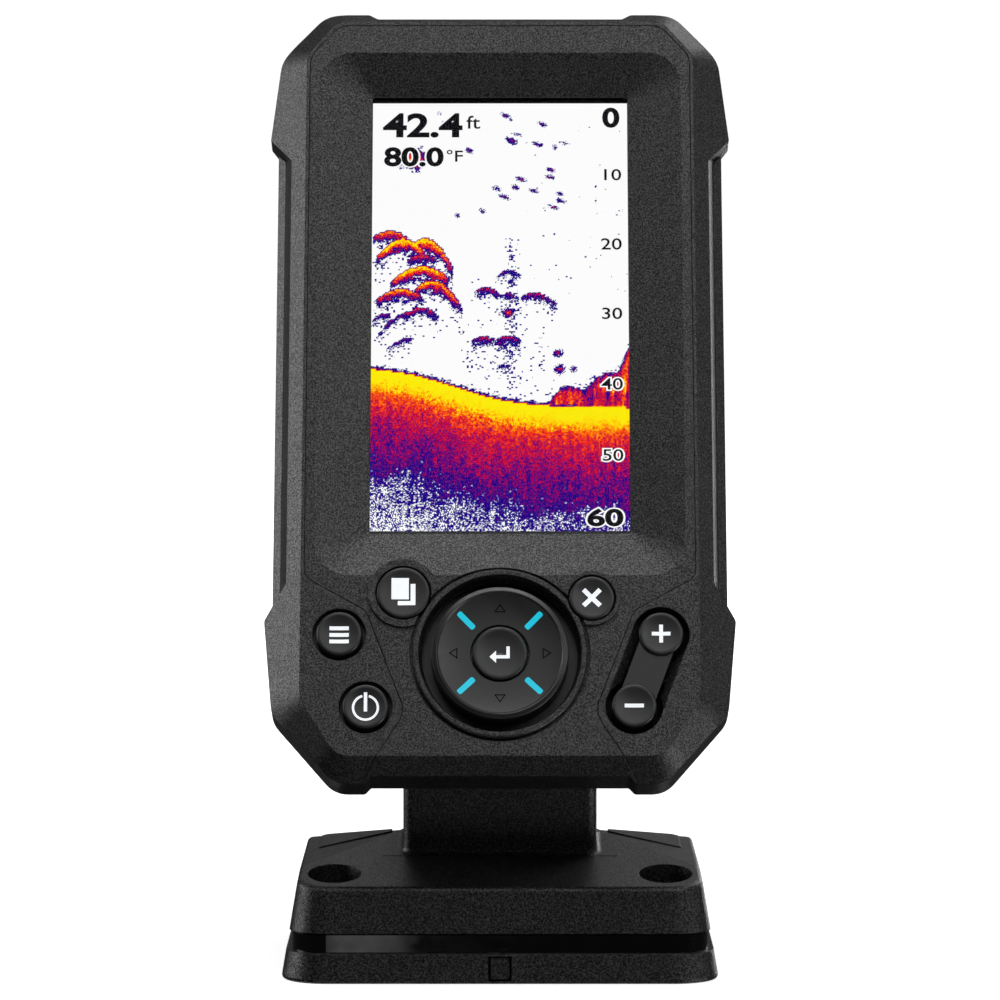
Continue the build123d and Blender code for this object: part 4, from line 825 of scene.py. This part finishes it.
# Softboxes: place, size (both in metres) and radiance.
SOFTBOXES = {
    "key_left": ((-1.5, 0.2, 0.52), (0.85, 0.95), 4.3),
    "front_top": ((0.0, -1.4, 1.35), (1.3, 0.7), 0.9),
    "overhead": ((0.0, -0.5, 1.75), (1.4, 0.7), 4.3),
    "front_right": ((0.9, -1.3, 1.1), (0.7, 0.6), 3.2),
    "front_low": ((0.0, -1.45, -0.75), (1.2, 0.4), 0.9),
    "back_top": ((0.0, 1.5, 0.9), (1.6, 0.5), 0.7),
    "back_right": ((0.9, 0.9, 1.3), (0.6, 0.6), 4.0),
    "back_low": ((0.0, 0.8, -1.25), (1.4, 0.6), 2.6),
    "fill_right": ((1.5, 0.2, 0.5), (0.9, 0.8), 0.55),
    "low_right": ((1.2, -0.55, -0.5), (0.7, 0.5), 5.0),
    "rim_right": ((0.75, 1.5, 0.3), (0.4, 1.0), 4.0),
    "slit_front": ((-0.075, -1.75, -0.26), (0.04, 0.4), 1.3),
}


def make_camera():
    """A long lens a little above the head's height."""
    data = bpy.data.cameras.new("camera")
    data.lens = CAMERA_LENS
    data.sensor_width = SENSOR
    data.clip_start = 0.05
    data.clip_end = 40
    camera = bpy.data.objects.new("camera", data)
    camera.location = CAMERA_PLACE
    camera.rotation_euler = (math.radians(CAMERA_TILT), 0, 0)
    collection.objects.link(camera)
    bpy.context.scene.camera = camera


def softbox(name, place, size, radiance):
    """A rectangular soft light that faces the model's middle."""
    data = bpy.data.lights.new(name, "AREA")
    data.shape = "RECTANGLE"
    data.size, data.size_y = size
    data.energy = radiance * math.pi * size[0] * size[1]
    light = bpy.data.objects.new(name, data)
    light.location = place
    light.rotation_euler = (Vector(AIM) - Vector(place)).to_track_quat("-Z", "Y").to_euler()
    light.visible_camera = False
    collection.objects.link(light)


def make_world():
    """A dark studio: nearly all the light comes from the softboxes."""
    world = bpy.data.worlds.new("studio")
    bpy.context.scene.world = world
    world.use_nodes = True
    tree = world.node_tree
    tree.nodes.clear()
    output = tree.nodes.new("ShaderNodeOutputWorld")
    background = tree.nodes.new("ShaderNodeBackground")
    background.inputs["Color"].default_value = (SURROUND, SURROUND, SURROUND, 1)
    tree.links.new(background.outputs[0], output.inputs["Surface"])


def stage_piece(name, form, material):
    """A stage mesh that the camera sees, and that casts no light on the object."""
    mesh = bpy.data.meshes.new(name)
    form.to_mesh(mesh)
    form.free()
    piece = bpy.data.objects.new(name, mesh)
    collection.objects.link(piece)
    mesh.materials.append(material)
    piece.visible_glossy = False
    piece.visible_diffuse = False
    piece.visible_shadow = False


def make_stage():
    """A round pale floor that is clear from below, and a white backdrop all round."""
    form = bmesh.new()
    bmesh.ops.create_circle(form, cap_ends=True, segments=96, radius=STAGE_R)
    s = Shader("floor_white")
    away = s.add("ShaderNodeVectorMath", operation="LENGTH")
    s.link(s.place(), away.inputs[0])
    glow = s.add("ShaderNodeEmission")
    brightness = s.spread(away.outputs["Value"], FLOOR_NEAR, BACKDROP, FLOOR_RISE)
    s.link(brightness, glow.inputs["Strength"])
    matt = s.add("ShaderNodeBsdfDiffuse")
    matt.inputs["Color"].default_value = (0.86, 0.86, 0.86, 1)
    both = s.add("ShaderNodeAddShader")
    s.link(glow.outputs[0], both.inputs[0])
    s.link(matt.outputs[0], both.inputs[1])
    mix = s.add("ShaderNodeMixShader")
    s.link(s.add("ShaderNodeNewGeometry").outputs["Backfacing"], mix.inputs[0])
    s.link(both.outputs[0], mix.inputs[1])
    s.link(s.add("ShaderNodeBsdfTransparent").outputs[0], mix.inputs[2])
    s.link(mix.outputs[0], s.output.inputs["Surface"])
    stage_piece("floor", form, s.material)

    form = bmesh.new()
    bmesh.ops.create_uvsphere(form, u_segments=64, v_segments=32, radius=STAGE_R)
    s = Shader("backdrop_white")
    glow = s.add("ShaderNodeEmission")
    glow.inputs["Strength"].default_value = BACKDROP
    s.link(glow.outputs[0], s.output.inputs["Surface"])
    stage_piece("backdrop", form, s.material)


make_camera()
make_world()
make_stage()
for name, (place, size, radiance) in SOFTBOXES.items():
    softbox(name, place, size, radiance)

scene = bpy.context.scene
scene.view_settings.view_transform = "Standard"
scene.view_settings.look = "None"
